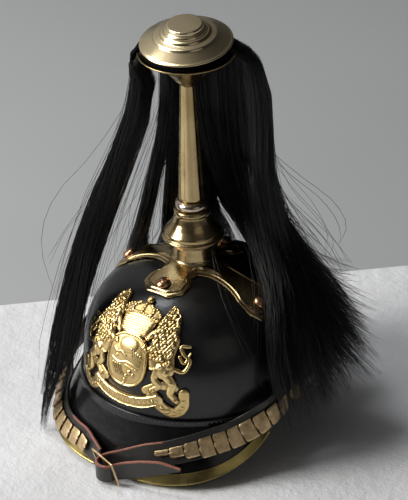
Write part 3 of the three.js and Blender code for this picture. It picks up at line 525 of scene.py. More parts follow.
def rear_rim(turn, lowest):
    """The rear peak's edge, level at the back and rising along the sides."""
    r = REAR_RIM
    bend = 2 / r["power"]
    climb = max(abs(math.sin(turn)) - r["flat"], 0) / (1 - r["flat"])
    return np.array([
        r["half"] * signed_power(math.sin(turn), bend),
        r["side_y"] + r["reach"] * max(math.cos(turn), 0) ** bend,
        lowest + (r["side_z"] - lowest) * climb ** r["sweep"],
    ])


def beside_skull(point, grow, z):
    """The place on the skull's wall in the direction of a point, at a height and grown outwards."""
    reach = SKULL["front"] if point[1] < 0 else SKULL["back"]
    beside = skull_point(math.atan2(point[0] / SKULL["half"], -point[1] / reach), 0, grow)
    beside[2] = z
    return beside


def visor_frame(rim_curve, turn):
    """A visor's rim and root at a turn, the way down it and the way out of its upper face."""
    step = 0.01
    rim = rim_curve(turn)
    root = beside_skull(rim, GAP + LEATHER, VISOR_ROOT)
    down = unit(rim - root)
    along = unit(rim_curve(min(turn + step, np.pi / 2)) - rim_curve(max(turn - step, -np.pi / 2)))
    normal = unit(np.cross(along, down))
    if normal[2] < 0:
        normal = -normal
    return rim, root, down, normal


def even_turns(rim, stations):
    """Turns that lie evenly round a rim, although its corners are squarish."""
    angles = np.pi * (np.linspace(0, 1, stations + 1) - 0.5)
    slant = np.abs(np.tan(angles)) * rim["reach"] / rim["half"]
    return np.sign(angles) * np.arctan(slant ** (rim["power"] / 2))


def build_visor(name, node, rim_curve, turns, flat_edge):
    """A peak of one thickness, with a flange up the skull. A flat edge stays over its lowest line."""
    rings = []
    for turn in turns:
        rim, root, _, normal = visor_frame(rim_curve, turn)
        rim_under = rim - normal * LEATHER
        if flat_edge:
            rim_under[2] = max(rim_under[2], rim[2])
        section = [
            beside_skull(rim, GAP + LEATHER, FLANGE_TOP), root, rim, rim_under, root - normal * LEATHER,
            beside_skull(rim, GAP, VISOR_ROOT + 1), beside_skull(rim, GAP, FLANGE_TOP),
        ]
        rings.append(eased(section, [0.9, 3.2, 0.9, 0.7, 2.5, 1, 0.5], 5))
    body = Body()
    body.loft(rings)
    finish_piece(body.piece(name, 50), POLISHED, [node])


def build_trim(turns):
    """A folded strip over the peak's edge: across is out of the leather, far is past its rim."""
    half = LEATHER + GAP
    wall, cap = 0.9, 1.3
    rings = []
    for turn in turns:
        rim, root, down, normal = visor_frame(front_rim, turn)
        slope = np.linalg.norm(rim - root)
        lip_out = min(8.3, 0.55 * slope)
        lip_in = min(5, 0.45 * slope)
        section = [
            (GAP, -lip_out), (GAP + wall, -lip_out), (GAP + wall, cap - 1.6),
            (GAP + wall + 0.25, cap - 0.5), (GAP + wall - 0.4, cap), (-half - wall, cap),
            (-half - wall, -lip_in), (-half, -lip_in), (-half, GAP), (GAP, GAP),
        ]
        points = [rim + normal * across + down * far for across, far in section]
        rings.append(eased(points, [0.3, 0.5, 0.4, 0.4, 0.5, 0.8, 0.4, 0.3, 0.3, 0.3], 4))
    body = Body()
    body.loft(rings)
    finish_piece(body.piece("brass_trim", 50), TRIM_BRASS, ["visor_trim"])


STITCH = {"length": 2.3, "thick": 0.75, "pitch": 3.6}


def stitch_row(body, places, outs, alongs):
    """Short rounded stitches that lie along a seam."""
    turns = full_turn(8)
    for at, out, along in zip(places, outs, alongs):
        side = unit(np.cross(out, along))
        rings = []
        for t in np.linspace(-1, 1, 7):
            swell = max(1 - t**4, 0.12) ** 0.5
            centre = at + along * (t * STITCH["length"] / 2) + out * (0.35 * (1 - t * t) - 0.1)
            rings.append([
                centre + (out * math.sin(a) + side * math.cos(a)) * swell * STITCH["thick"] / 2
                for a in turns
            ])
        body.loft(rings, fans=True)


def build_seams():
    """The stitches that hold both peaks' flanges to the skull."""
    body = Body()
    for rim_curve, rim in ((front_rim, FRONT_RIM), (lambda t: rear_rim(t, 0), REAR_RIM)):
        turns = even_turns(rim, 400)[6:-6]
        line = np.array([
            beside_skull(rim_curve(t), GAP + LEATHER + 0.05, FLANGE_TOP - 2.2) for t in turns])
        walk = walked(line)
        stops = np.arange(2, walk[-1] - 2, STITCH["pitch"])
        at = sampled(stops, walk, line)
        along = unit(sampled(stops + 0.5, walk, line) - at)
        out = unit(np.cross(along, UP))
        out *= np.sign((out * at).sum(1))[:, None]
        stitch_row(body, at, out, along)
    finish_piece(body.piece("seam_stitches", 60), THREAD)


# ---------- cross base ----------

# An arm ends in a lobe: rows of how far back from the tip, and the share of its half width there.
LOBE = [(0, 0), (0, 0.54), (9, 1), (19, 1)]
SIDE_ARM = {"tip": 77.5, "lobe": 16.8, "waist": [(50, 13.8), (38, 12.2), (26, 13)]}
FRONT_ARM = {"tip": 50, "lobe": 20, "waist": [(25, 15.2)]}
CROTCH = 23.5  # from the stem's axis to the hollow between two arms
NECK = 17.4
NECK_TOP = [(18.6, 151), (18.0, 151.6), (17.6, 152.4), (NECK, 153.4), (NECK, 160), (NECK, 166.3)]
# The moulded edge: how far in from the outline, and how far over the skull.
MOULDING = [
    (0, 0.95), (0, 1.45), (0.25, 1.95), (0.9, 2.25), (1.7, 2.3), (2.2, 2.35), (2.4, 2.95),
    (2.8, 3.45), (3.45, 3.7), (4.15, 3.6), (4.7, 3.25), (5, 3.0),
]
FIELD_INSET, FIELD_RISE = MOULDING[-1]
UNDERSIDE_RISE = GAP + 0.95
FILLET = {"rise": 3.2, "reach": 22, "foot": 1.2}  # where the neck grows out of the field


def arm_half(arm, inset):
    """Places and half widths from the tip's middle to the hollow beside the arm, as dense rows."""
    def rounded(cut):
        lobe = [
            (arm["tip"] - back - cut * (back == 0), max(share * arm["lobe"] - cut, 0))
            for back, share in LOBE
        ]
        first = arm["waist"][0]
        return eased([*lobe, (first[0], first[1] - cut)], 1.2, 4, closed=False)[:-1]

    corners, full = rounded(inset), rounded(0)
    straight = []
    for i in range(len(corners) - 1):
        parts = max(int(np.linalg.norm(full[i + 1] - full[i]) / 2.2), 1)
        straight.extend(corners[i] + (corners[i + 1] - corners[i]) * k / parts for k in range(parts))
    reach = (CROTCH - inset) * math.cos(math.pi / 4)
    waist = [(at, half - inset) for at, half in arm["waist"]]
    curve = curve_points([corners[-1], *waist, (reach, reach)], 8 * (len(waist) + 1) + 1)
    return np.array([*straight, *curve])


def cross_outline(inset):
    """The whole cross, set in from its edge, as angles and radii round the stem's axis."""
    angles, radii = [], []
    for quarter, arm in enumerate([FRONT_ARM, SIDE_ARM, FRONT_ARM, SIDE_ARM]):
        middle = -math.pi / 2 + quarter * math.pi / 2
        half = arm_half(arm, inset)
        turn, radius = np.arctan2(half[:, 1], half[:, 0]), np.hypot(half[:, 0], half[:, 1])
        angles.extend([*(middle - turn[1:][::-1]), *(middle + turn[:-1])])
        radii.extend([*radius[1:][::-1], *radius[:-1]])
    return np.array(angles), np.array(radii)


def build_cross_base():
    """A moulded cross that follows the skull. Its rings run from the underside, round the edge and
    over the field, up to the top of the neck."""
    def on_skull(angles, radii, rise):
        x, y = radii * np.cos(angles), radii * np.sin(angles)
        return np.stack([x, y, skull_height(x, y) + rise], -1)

    angles, radii = cross_outline(0)
    inner_angles, inner = cross_outline(FIELD_INSET)
    rings = [on_skull(angles, radii * share, UNDERSIDE_RISE) for share in (0.3, 0.6, 0.85)]
    rings += [on_skull(*cross_outline(inset), rise) for inset, rise in MOULDING]
    foot = np.minimum(inner, NECK + FILLET["foot"])
    for t in np.linspace(0, 1, 16)[1:]:
        radius = inner + (foot - inner) * t
        swell = np.maximum(0, 1 - (radius - NECK) / FILLET["reach"]) ** 1.5
        root = FILLET["rise"] * swell * min(3 * t, 1)
        rings.append(on_skull(inner_angles, radius, FIELD_RISE + root))
    ring_x, ring_y = np.cos(inner_angles), np.sin(inner_angles)
    for radius, z in NECK_TOP:
        rings.append(np.stack([radius * ring_x, radius * ring_y, np.full(len(ring_x), z)], -1))
    body = Body()
    body.loft(rings, fans=True)
    finish_piece(body.piece("brass_base", 32), BRASS, ["cross_base"])


STUD = [(0, 0), (6.2, 0), (6.4, 0.8), (5.4, 2.6), (3.2, 3.9), (0, 4.4)]
STUD_SEATS = {
    "stud_front": (0, -40.3, 3.55), "stud_back": (0, 40.3, 3.6),
    "stud_left": (-66.7, 0, 2.65), "stud_right": (66.7, 0, 2.65),
}


def build_studs():
    """A domed stud on each arm, square to the skull under it."""
    profile = eased(STUD, [0, 0.3, 0.9, 1.1, 1.4, 0], 5, closed=False)
    profile[-1, 0] = 0.3
    profile = np.vstack([profile, STUD[-1]])
    for name, (x, y, lift) in STUD_SEATS.items():
        normal = unit([
            skull_height(x - 1, y) - skull_height(x + 1, y),
            skull_height(x, y - 1) - skull_height(x, y + 1), 2,
        ])
        seat = np.array([x, y, skull_height(x, y)]) + normal * lift
        turn = np.array(Vector((0, 0, 1)).rotation_difference(Vector(normal)).to_matrix())
        body = Body()
        revolve(body, profile, 40, seated(turn, seat))
        finish_piece(body.piece(f"{name}_dome", 40), COPPER, [name])


# ---------- stem ----------

COLLAR = [
    (0, 166.6), (22.6, 166.6), (23.4, 167.6), (23.2, 168.6), (25, 169), (25.7, 170.4),
    (25.2, 171.8), (23.2, 172.4), (23.4, 175.4), (21.6, 177.4), (19, 180.5), (16.4, 185), (14.6, 190.4),
    (14.9, 191.6), (15.3, 193), (14.9, 194.6), (14, 195.6), (0, 195.6),
]
BEAD = [
    (0, 195.9), (12.2, 195.9), (13.6, 197.6), (14, 199.6), (13.5, 201.4), (12.2, 202.8),
    (11, 203.4), (0, 203.4),
]
DISH_RIM = 337.6
# The cup and its dish, with heights from the dish's rim.
DISH = [
    (0, -30), (6.6, -29.4), (7.4, -27.6), (9.6, -25.6), (13, -21), (18.6, -14.6), (23.6, -10),
    (25.2, -8.6), (25.6, -7.2), (27, -6.6), (33, -4.4), (38.4, -1.8), (39.8, -0.7), (39.6, 0.3), (38.6, 0.1),
    (33, -2.8), (26, -5.2), (18, -11.6), (11.6, -18.4), (0, -22),
]
# The cap, with heights from its own place on the stem.
CAP = [
    (0, 17), (14.2, 16.9), (15, 15.9), (15.2, 13.7), (16.8, 13.1), (17.4, 12.2), (17.6, 10.9), (19.6, 10.5),
    (20.5, 9.6), (20.8, 8.6), (25.6, 7.7), (26.4, 6.9), (26.6, 6.0), (35.9, 1.2), (37.2, 0.9), (37.9, 0.2),
    (37.3, -0.6), (36.2, -0.5), (25.6, 4.6), (19, 8.3), (12.6, 14), (3.6, 14.2), (3.6, 2.9), (0, 2.9),
]
CAP_HEIGHT = 346.4
CAP_TILT = {"forward": 5.5, "aside": 3}
SHAFT_FOOT = 203.7
SHAFT = [
    (9.4, SHAFT_FOOT), (10.1, SHAFT_FOOT + 0.5), (11.0, SHAFT_FOOT + 1.7), (11.4, SHAFT_FOOT + 2.6),
    (11.3, SHAFT_FOOT + 4), (10.2, SHAFT_FOOT + 27), (8.6, SHAFT_FOOT + 60), (7.2, SHAFT_FOOT + 90),
    (6.5, 309), (6.4, 313),
]


def build_rings():
    """The collar on the base's neck and the ring above it."""
    finish_piece(turned("turned_collar", COLLAR, 1.0, 112), BRASS, ["stem_collar"])
    finish_piece(turned("turned_bead", BEAD, 1.0, 112), SILVER, ["bead_ring"])


def build_stem():
    """The shaft, round at its foot and lightly fluted above, with its cup and dish."""
    body = Body()
    turns = full_turn(96) + np.pi / 8
    flute = 1 - 0.07 * np.sin(4 * (turns - np.pi / 8)) ** 2
    rings = []
    for radius, z in SHAFT:
        blend = min(max((z - SHAFT_FOOT) / 4, 0), 1)
        reach = radius * (1 - blend + blend * flute)
        rings.append(np.stack([reach * np.cos(turns), reach * np.sin(turns), np.full(96, z)], -1))
    body.loft(rings, fans=True)
    dish = eased([(r, DISH_RIM + z) for r, z in DISH], 1.3, 5, closed=False)
    revolve(body, dish, 112)
    finish_piece(body.piece("fluted_stem", 32), BRASS, ["plume_stem"])


def build_cap():
    """The stepped cap, which leans a little."""
    side = math.radians(OPEN_SIDE)
    across = Vector((math.cos(side), math.sin(side), 0))
    toward = Vector((math.sin(side), -math.cos(side), 0))
    forward = Matrix.Rotation(math.radians(CAP_TILT["forward"]), 3, across)
    turn = np.array(Matrix.Rotation(math.radians(CAP_TILT["aside"]), 3, toward) @ forward)
    cap = turned("turned_cap", CAP, 0.9, 128, seated(turn, (0, 0, CAP_HEIGHT)), 30)
    finish_piece(cap, CAP_BRASS, ["plume_cap"])


# ---------- plume ----------

# The head of fused hair under the cap, with heights from the dish's rim.
HEAD = [
    (0, -21.6), (11.2, -17.9), (17.8, -11), (25.8, -4.8), (33, -2.4), (35.6, -1), (35.4, 1.8), (32, 3.6),
    (24, 5.6), (14, 8.4), (8, 11), (0, 11),
]
# Locks of hair. Rows down a lock: side in degrees round from the open side, radius from the stem
# axis, height, half width and half thickness.
LOCKS = [
    # the mass on the left, and a strand that turns in over the skull's left flank
    [
        [-107, 37, 308, 11, 9], [-104, 39, 288, 11, 10], [-99, 46, 264, 11, 10], [-95, 57, 236, 11, 11],
        [-92, 70, 206, 12, 12], [-90, 84, 168, 13, 12], [-88, 94, 139, 13, 12], [-86, 101, 118, 14, 11],
        [-85, 110, 88, 14, 10], [-84, 117, 60, 12, 8], [-83, 124, 42, 10, 5], [-81, 130, 24, 7, 3],
        [-80, 132, 10, 4, 2],
    ],
    [
        [-97, 40, 300, 8, 6], [-94, 52, 262, 8, 7], [-90, 67, 214, 9, 8], [-85, 84, 168, 11, 8],
        [-80, 94, 138, 12, 7], [-77, 103, 108, 13, 6], [-75, 111, 80, 13, 6], [-74, 118, 58, 10, 4],
        [-74, 121, 46, 6, 2],
    ],
    # two strands in the gap behind the stem
    [
        [-158, 41, 296, 7, 5], [-153, 43, 250, 6, 5], [-144, 46, 220, 6, 5], [-135, 48, 194, 6, 5],
        [-135, 58, 160, 7, 5], [-143, 76, 134, 8, 5], [-149, 96, 104, 11, 5], [-149, 112, 76, 12, 5],
        [-148, 118, 52, 8, 3],
    ],
    [
        [-170, 43, 292, 10, 5], [-168, 45, 245, 8, 5], [-162, 48, 200, 7, 5], [-162, 57, 160, 8, 5],
        [-167, 78, 136, 8, 5], [-168, 97, 112, 10, 5], [-168, 112, 82, 14, 5], [-168, 122, 52, 11, 3],
    ],
    # the back
    [
        [176, 44, 292, 13, 6], [176, 46, 245, 13, 7], [176, 51, 200, 14, 7], [175, 64, 164, 16, 6],
        [174, 86, 136, 19, 6], [171, 106, 106, 20, 6], [169, 121, 76, 18, 5], [168, 132, 48, 12, 3],
    ],
    [
        [152, 46, 296, 13, 7], [150, 49, 250, 14, 8], [148, 54, 205, 16, 8], [147, 66, 170, 18, 7],
        [146, 87, 142, 20, 7], [146, 107, 114, 21, 7], [146, 124, 88, 19, 6], [146, 140, 62, 13, 3],
    ],
    [
        [127, 52, 304, 14, 8], [125, 58, 260, 15, 9], [122, 60, 216, 16, 9], [121, 69, 178, 18, 9],
        [120, 85, 146, 20, 8], [119, 104, 118, 21, 8], [117, 123, 92, 18, 6], [115, 138, 70, 13, 3],
    ],
    # the mass on the right, which lies over the skull's right flank and fans out like a broom
    [
        [95, 53, 322, 13, 6], [94, 58, 290, 14, 9], [92, 58, 248, 14, 9], [91, 60, 214, 15, 9],
        [90, 65, 184, 15, 9], [89, 71, 158, 15, 9], [88, 79, 138, 15, 9], [87, 92, 122, 15, 8],
        [86, 104, 112, 14, 5], [86, 113, 105, 12, 3],
    ],
    [
        [105, 54, 314, 13, 7], [102, 57, 270, 14, 9], [99, 59, 225, 15, 9], [96, 66, 184, 16, 9],
        [93, 76, 150, 17, 9], [91, 90, 124, 17, 9], [88, 107, 104, 16, 8], [86, 121, 89, 14, 6],
        [85, 132, 78, 12, 3],
    ],
    [
        [115, 53, 306, 13, 8], [111, 55, 262, 14, 9], [107, 58, 218, 15, 9], [102, 66, 182, 16, 9],
        [96, 78, 152, 17, 9], [89, 93, 126, 18, 9], [84, 107, 102, 18, 8], [82, 121, 80, 17, 7],
        [81, 134, 64, 14, 5], [81, 144, 54, 11, 3],
    ],
    [
        [138, 48, 298, 13, 7], [134, 49, 252, 13, 8], [124, 50, 214, 13, 8], [110, 57, 182, 14, 8],
        [96, 68, 160, 15, 8], [83, 81, 140, 16, 8], [74, 94, 116, 17, 8], [69, 105, 92, 18, 7],
        [68, 115, 70, 17, 6], [69, 123, 50, 12, 3],
    ],
    [
        [150, 46, 300, 12, 7], [144, 44, 256, 12, 8], [131, 44, 216, 12, 8], [113, 49, 184, 13, 8],
        [94, 61, 161, 14, 8], [78, 75, 143, 15, 8], [66, 88, 121, 16, 8], [58, 101, 97, 17, 7],
        [56, 113, 72, 16, 5], [56, 119, 48, 12, 3],
    ],
    [
        [166, 43, 296, 11, 6], [156, 40, 252, 10, 7], [140, 38, 218, 10, 7], [116, 41, 187, 11, 7],
        [92, 51, 163, 12, 7], [74, 65, 149, 13, 7], [60, 79, 137, 14, 7], [49, 92, 112, 15, 7],
        [43, 105, 84, 15, 6], [42, 114, 64, 13, 5], [43, 117, 48, 10, 3],
    ],
]
# Every lock starts in the head and turns down over the rim of the dish.
LOCK_ROOTS = [(30, 340.8, 1.6), (39, 341.2, 1.8), (43.5, 336.6, 2.2)]


class Lock:
    """A lock's middle line with the ways across it and out of it, as evenly spaced stations."""

    ROOT_WIDTH = 0.85  # the share of its width that a lock has in the head

    def __init__(self, free, stations=60):
        side, width = free[0][0], self.ROOT_WIDTH * free[0][3]
        rows = [(side, radius, z, width, thick) for radius, z, thick in LOCK_ROOTS] + free
        dense = curve_points(rows, 12 * len(rows))
        around = np.radians(OPEN_SIDE + dense[:, 0])
        out = np.stack([np.sin(around), -np.cos(around), 0 * around], -1)
        centre = out * dense[:, 1:2] + UP * dense[:, 2:3]
        walk = walked(centre)
        even = np.linspace(0, walk[-1], stations)
        self.centre = sampled(even, walk, centre)
        turn, _, _, self.half_width, self.half_thick = sampled(even, walk, dense).T
        around = np.radians(OPEN_SIDE + turn)
        self.length = walk[-1]
        self.along = unit(np.gradient(self.centre, axis=0))
        level = np.stack([np.cos(around), np.sin(around), 0 * around], -1)
        self.across = unit(level - self.along * (level * self.along).sum(-1, keepdims=True))
        self.normal = unit(np.cross(self.along, self.across))

    def at(self, share):
        """Centre, ways across and out, half width and half thickness at shares of the length. Past 1
        the lock runs straight on."""
        count = len(self.centre) - 1
        place = np.clip(share, 0, 1) * count
        low = np.minimum(place.astype(int), count - 1)
        w = place - low

        def between(rows):
            part = w if rows.ndim == 1 else w[..., None]
            return rows[low] * (1 - part) + rows[low + 1] * part

        beyond = self.along[-1] * (np.maximum(share - 1, 0) * self.length)[..., None]
        return (
            between(self.centre) + beyond, unit(between(self.across)), unit(between(self.normal)),
            between(self.half_width), between(self.half_thick),
        )


def hair_tubes(name, lines, radii, shades):
    """One mesh of thin three-sided strands. Lines and radii have a row for each strand."""
    strands, count = lines.shape[:2]
    along = unit(np.gradient(lines, axis=1))
    side = unit(np.cross(along, UP + 0.001))
    other = np.cross(side, along)
    turns = np.arange(3) * 2 * np.pi / 3
    ring = (
        lines[:, :, None] + radii[:, :, None, None] * (
            side[:, :, None] * np.cos(turns)[:, None] + other[:, :, None] * np.sin(turns)[:, None])
    )
    points = placed(ring.reshape(-1, 3))
    start = np.arange(strands) * count * 3
    step = np.arange(count - 1) * 3
    k = np.arange(3)
    quad = np.stack([k, (k + 1) % 3, (k + 1) % 3 + 3, k + 3], -1)
    quads = (start[:, None, None, None] + step[:, None, None] + quad).reshape(-1, 4)
    last = start + 3 * (count - 1)
    caps = np.concatenate([start[:, None] + [2, 1, 0], last[:, None] + [0, 1, 2]])
    mesh = bpy.data.meshes.new(name)
    mesh.vertices.add(len(points))
    mesh.vertices.foreach_set("co", points.astype(np.float32).ravel())
    loops = np.concatenate([quads.ravel(), caps.ravel()])
    mesh.loops.add(len(loops))
    mesh.loops.foreach_set("vertex_index", loops.astype(np.int32))
    starts = np.concatenate([np.arange(len(quads)) * 4, len(quads) * 4 + np.arange(len(caps)) * 3])
    mesh.polygons.add(len(starts))
    mesh.polygons.foreach_set("loop_start", starts.astype(np.int32))
    mesh.update(calc_edges=True)
    soften(mesh, None)
    store_values(mesh, "shade", np.repeat(shades, count * 3))
    return shown(name, mesh)


# Where a strand has its points, as shares of its length: closer together in the bend over the dish.
STATIONS = np.concatenate([np.linspace(0, 0.14, 4)[:-1], np.linspace(0.14, 1, 9)])

FAN_LOCKS = 6  # the last locks, which make the broom on the right
NARROW_HAIR = {"clumps": 24, "ragged": 0.12, "flare": 0.2, "least": (6, 3)}
FAN_HAIR = {"clumps": 70, "ragged": 0.17, "flare": 0.3, "least": (14, 7)}
LOOSE_HAIR = {"clumps": 30, "ragged": 0.3, "flare": 0.5, "least": (6, 3), "loose": 0.3, "wide": 1.3}
FAN_SHARE, NARROW_SHARE, LOOSE_COUNT = 1.25, 0.8, 30
STRANDS, STRANDS_IN_A_PIECE = 6600, 2200
FLOOR_CLEARANCE = 0.6


def lock_strands(lock, count, clumps, ragged, flare, least, loose=0.0, wide=1.0):
    """Strand lines of one lock, gathered into small tufts towards the tip. Ragged is how much
    shorter a tuft may be, flare how far the tufts spread at the tip, least the least half width and
    half thickness there, loose how far single strands stray and wide how far out they start."""
    # Where each strand starts in the lock's section, and the middles and ends of the tufts.
    turn = rng.uniform(0, 2 * np.pi, count)
    reach = np.sqrt(rng.uniform(0.3, 1.1, count)) * wide
    a0, b0 = reach * np.cos(turn), reach * np.sin(turn)
    clump_turn = rng.uniform(0, 2 * np.pi, clumps)
    clump_reach = np.sqrt(rng.uniform(0.05, 1, clumps)) * wide
    centres = np.stack([clump_reach * np.cos(clump_turn), clump_reach * np.sin(clump_turn)], -1)
    clump_end = 1 - ragged * rng.random(clumps) ** 1.3
    clump_flare = rng.normal(0, flare, (2, clumps)) + flare * 0.8 * centres.T
    # Each strand joins the nearest tuft and is drawn into it, while the tufts spread at the tip.
    gap = (a0[:, None] - centres[:, 0]) ** 2 + (b0[:, None] - centres[:, 1]) ** 2
    pick = np.argmin(gap, axis=1)
    own = centres[pick]
    end = clump_end[pick] + 0.035 * rng.normal(0, 1, count).clip(-2, 1)
    share = STATIONS[None] * end[:, None]
    pull = np.clip((share - 0.5) / 0.5, 0, 1.1) ** 1.4 * rng.uniform(0.25, 0.8, count)[:, None]
    spread = np.clip((share - 0.55) / 0.45, 0, 1.2) ** 2
    a = a0[:, None] * (1 - pull) + own[:, :1] * pull + clump_flare[0][pick][:, None] * spread
    b = b0[:, None] * (1 - pull) + own[:, 1:] * pull + clump_flare[1][pick][:, None] * spread
    wander = rng.normal(0, 1, (2, count, 1)) * (0.05 + loose) * share**2 * 2
    a = a + wander[0]
    b = b + wander[1] * 1.4
    # Bent along the lock, pressed together in the head and swaying more towards the tip.
    centre, across, normal, width, thick = lock.at(share)
    width = np.maximum(width, least[0] * np.minimum(share, 1))
    thick = np.maximum(thick, least[1] * np.minimum(share, 1))
    root = np.clip(1 - share / 0.07, 0, 1)
    waves = rng.uniform(0, 2 * np.pi, (2, count, 1))
    speed = rng.uniform(1.2, 3.2, (2, count, 1)) * 2 * np.pi
    sway = 0.5 * share * (0.4 + loose * 3)
    line = centre + across * (a * width + sway * np.sin(speed[0] * share + waves[0]))[..., None]
    depth = b * thick * (1 - 0.7 * root) + sway * np.sin(speed[1] * share + waves[1])
    line = line + normal * depth[..., None]
    inward = 1 - 0.45 * root[..., None]
    return line * np.concatenate([inward, inward, np.ones_like(inward)], -1)


def from_side(rows):
    """Points given as right of the stem's axis, toward the open side, and height."""
    rows = np.asarray(rows, float)
    return rows[:, :1] * IMAGE_RIGHT + rows[:, 1:2] * TO_CAMERA + rows[:, 2:3] * UP


# Hairs that have come away from the locks: how many, how far apart at the start and at the tip, and
# the line that they follow, as right of the stem's axis, toward the open side, and height.
STRAYS = [
    (5, 3, 22, [(66, -12, 236), (84, -12, 205), (108, -14, 172), (123, -14, 140), (124, -12, 116)]),
    (9, 4, 26, [(64, -10, 222), (76, -10, 190), (94, -12, 160), (106, -14, 138), (110, -14, 122)]),
    (10, 4, 20, [(68, -14, 200), (78, -14, 172), (90, -16, 148), (99, -18, 128)]),
    (7, 3, 5, [(80, -16, 160), (96, -20, 140), (116, -22, 126), (136, -22, 118)]),
    (1, 0, 0, [
        (-44, -4, 300), (-80, -4, 244), (-112, -4, 207), (-126, -4, 174), (-127, -4, 141), (-117, -4, 104)]),
    (2, 3, 10, [(-88, -4, 196), (-104, -4, 172), (-118, -4, 142)]),
    (9, 2, 12, [
        (-50, -4, 280), (-62, -4, 240), (-82, -4, 196), (-100, -4, 150), (-113, -4, 100), (-119, -4, 60)]),
    (16, 3, 24, [(-17, -42, 292), (-26, -46, 240), (-42, -54, 184), (-60, -66, 128), (-68, -76, 90)]),
    (16, 3, 16, [(-22, -42, 260), (-30, -46, 214), (-36, -54, 168), (-42, -70, 128), (-46, -84, 100)]),
    (26, 2, 8, [(12, -40, 246), (18, -36, 214), (27, -34, 190), (38, -30, 168), (50, -24, 146)]),
    (3, 2, 14, [(14, 20, 168), (24, 56, 142), (40, 80, 112), (58, 92, 78)]),
]
# The spread end of the tail on the right, where its hairs turn outwards, given in the same way.
FAN = [
    (30, 6, 10, [(56, -10, 230), (66, -8, 185), (76, 0, 158), (88, 4, 140), (106, 6, 126), (132, 8, 120)]),
    (140, 9, 16, [(54, -10, 230), (66, -8, 180), (78, -3, 152), (94, 4, 124), (116, 10, 104), (138, 12, 88)]),
    (260, 10, 16, [(54, -10, 230), (66, -8, 180), (80, -2, 146), (97, 8, 110), (118, 16, 84), (139, 20, 68)]),
    (300, 10, 16, [(54, -10, 230), (63, -8, 180), (78, 6, 138), (94, 26, 104), (110, 38, 74), (126, 38, 54)]),
    (300, 10, 14, [(50, -16, 225), (62, -4, 175), (76, 20, 138), (88, 40, 104), (98, 54, 70), (110, 52, 46)]),
    (260, 8, 12, [
        (54, -5, 225), (60, 5, 180), (67, 25, 146), (72, 50, 122), (73, 70, 95), (77, 80, 68), (83, 84, 54)]),
]


def stray_hairs(groups, part=1.0):
    """Hairs round the line of each group; part is the share of each group's count that is made."""
    made = []
    for count, start, tip, rows in groups:
        count = max(int(count * part), 1)
        path = curve_points(from_side(rows), 60)
        base = sampled(STATIONS, np.linspace(0, 1, 60), path)
        offset = rng.normal(0, 0.5, (count, 1, 3)).clip(-1, 1) * start
        drift = rng.normal(0, 0.5, (count, 1, 3)).clip(-0.8, 0.8) * tip
        bow = rng.normal(0, 0.2, (count, 1, 3)).clip(-0.4, 0.4) * tip
        t = STATIONS[None, :, None]
        line = base[None] + offset + drift * t**1.5 + bow * np.sin(np.pi * t)
        length = rng.uniform(0.86, 1.0, (count, 1, 1))
        made.append(line[:, :1] + (line - line[:, :1]) * length)
    return np.concatenate(made)


def build_plume_core(locks):
    """The inside of the plume, painted dark as shade, thinner than the locks so that strands make their
    surface.
    """
    core = Body()
    revolve(core, eased([(r, DISH_RIM + z) for r, z in HEAD], 1.5, 4, closed=False), 72)
    turns = full_turn(40)
    rough = 0.76 + 0.06 * np.sin(9 * turns + 1) + 0.05 * np.sin(17 * turns + 2)
    shares = np.linspace(0, 0.9, 34)
    taper = (np.clip((0.95 - shares) / 0.35, 0.12, 1) * np.clip(0.45 + shares * 6, 0, 1))[:, None]
    for lock in locks:
        centre, across, normal, width, thick = lock.at(shares)
        rings = (
            centre[:, None] + across[:, None] * (width[:, None] * taper * rough * np.cos(turns))[..., None]
            + normal[:, None] * (thick[:, None] * taper * rough * np.sin(turns))[..., None]
        )
        core.loft(rings, fans=True)
    finish_piece(core.piece("plume_core", 60), HAIR_INSIDE_SHADE, ["plume"])


def build_plume():
    """The dark core and the strands around it, shared out over a few pieces."""
    locks = [Lock(free) for free in LOCKS]
    build_plume_core(locks)
    part = 1.0
    weights = np.array([lock.half_width.mean() + lock.half_thick.mean() for lock in locks])
    weights = weights / weights.sum()
    made = []
    for number, (lock, weight) in enumerate(zip(locks, weights)):
        fan = number >= len(locks) - FAN_LOCKS
        count = int(int(STRANDS * part) * weight * (FAN_SHARE if fan else NARROW_SHARE))
        made.append(lock_strands(lock, count, **(FAN_HAIR if fan else NARROW_HAIR)))
        made.append(lock_strands(lock, LOOSE_COUNT, **LOOSE_HAIR))
    made.append(stray_hairs(STRAYS))
    made.append(stray_hairs(FAN, part))
    lines = np.concatenate(made)
    lines[..., 2] = np.maximum(lines[..., 2], FLOOR_CLEARANCE)
    lines = lines[rng.permutation(len(lines))]
    taper = np.interp(STATIONS, [0, 0.8, 1], [1, 1, 0.35])
    radii = rng.uniform(0.13, 0.205, (len(lines), 1)) * taper
    shades = rng.random(len(lines))
    for number, start in enumerate(range(0, len(lines), STRANDS_IN_A_PIECE), 1):
        rows = slice(start, start + STRANDS_IN_A_PIECE)
        piece = hair_tubes(f"plume_strands_{number}", lines[rows], radii[rows], shades[rows])
        finish_piece(piece, HAIR)


# ---------- crest ----------

# The crest is a height over the leather, in millimetres, drawn flat with u across and v up from
# the seam. It is then bent on to the skull. BEAST holds one of two mirrored supporters.
CREST_STEP = 0.5
CREST_LIFT = 0.55
RIM = 1.2
BODY = 2.1

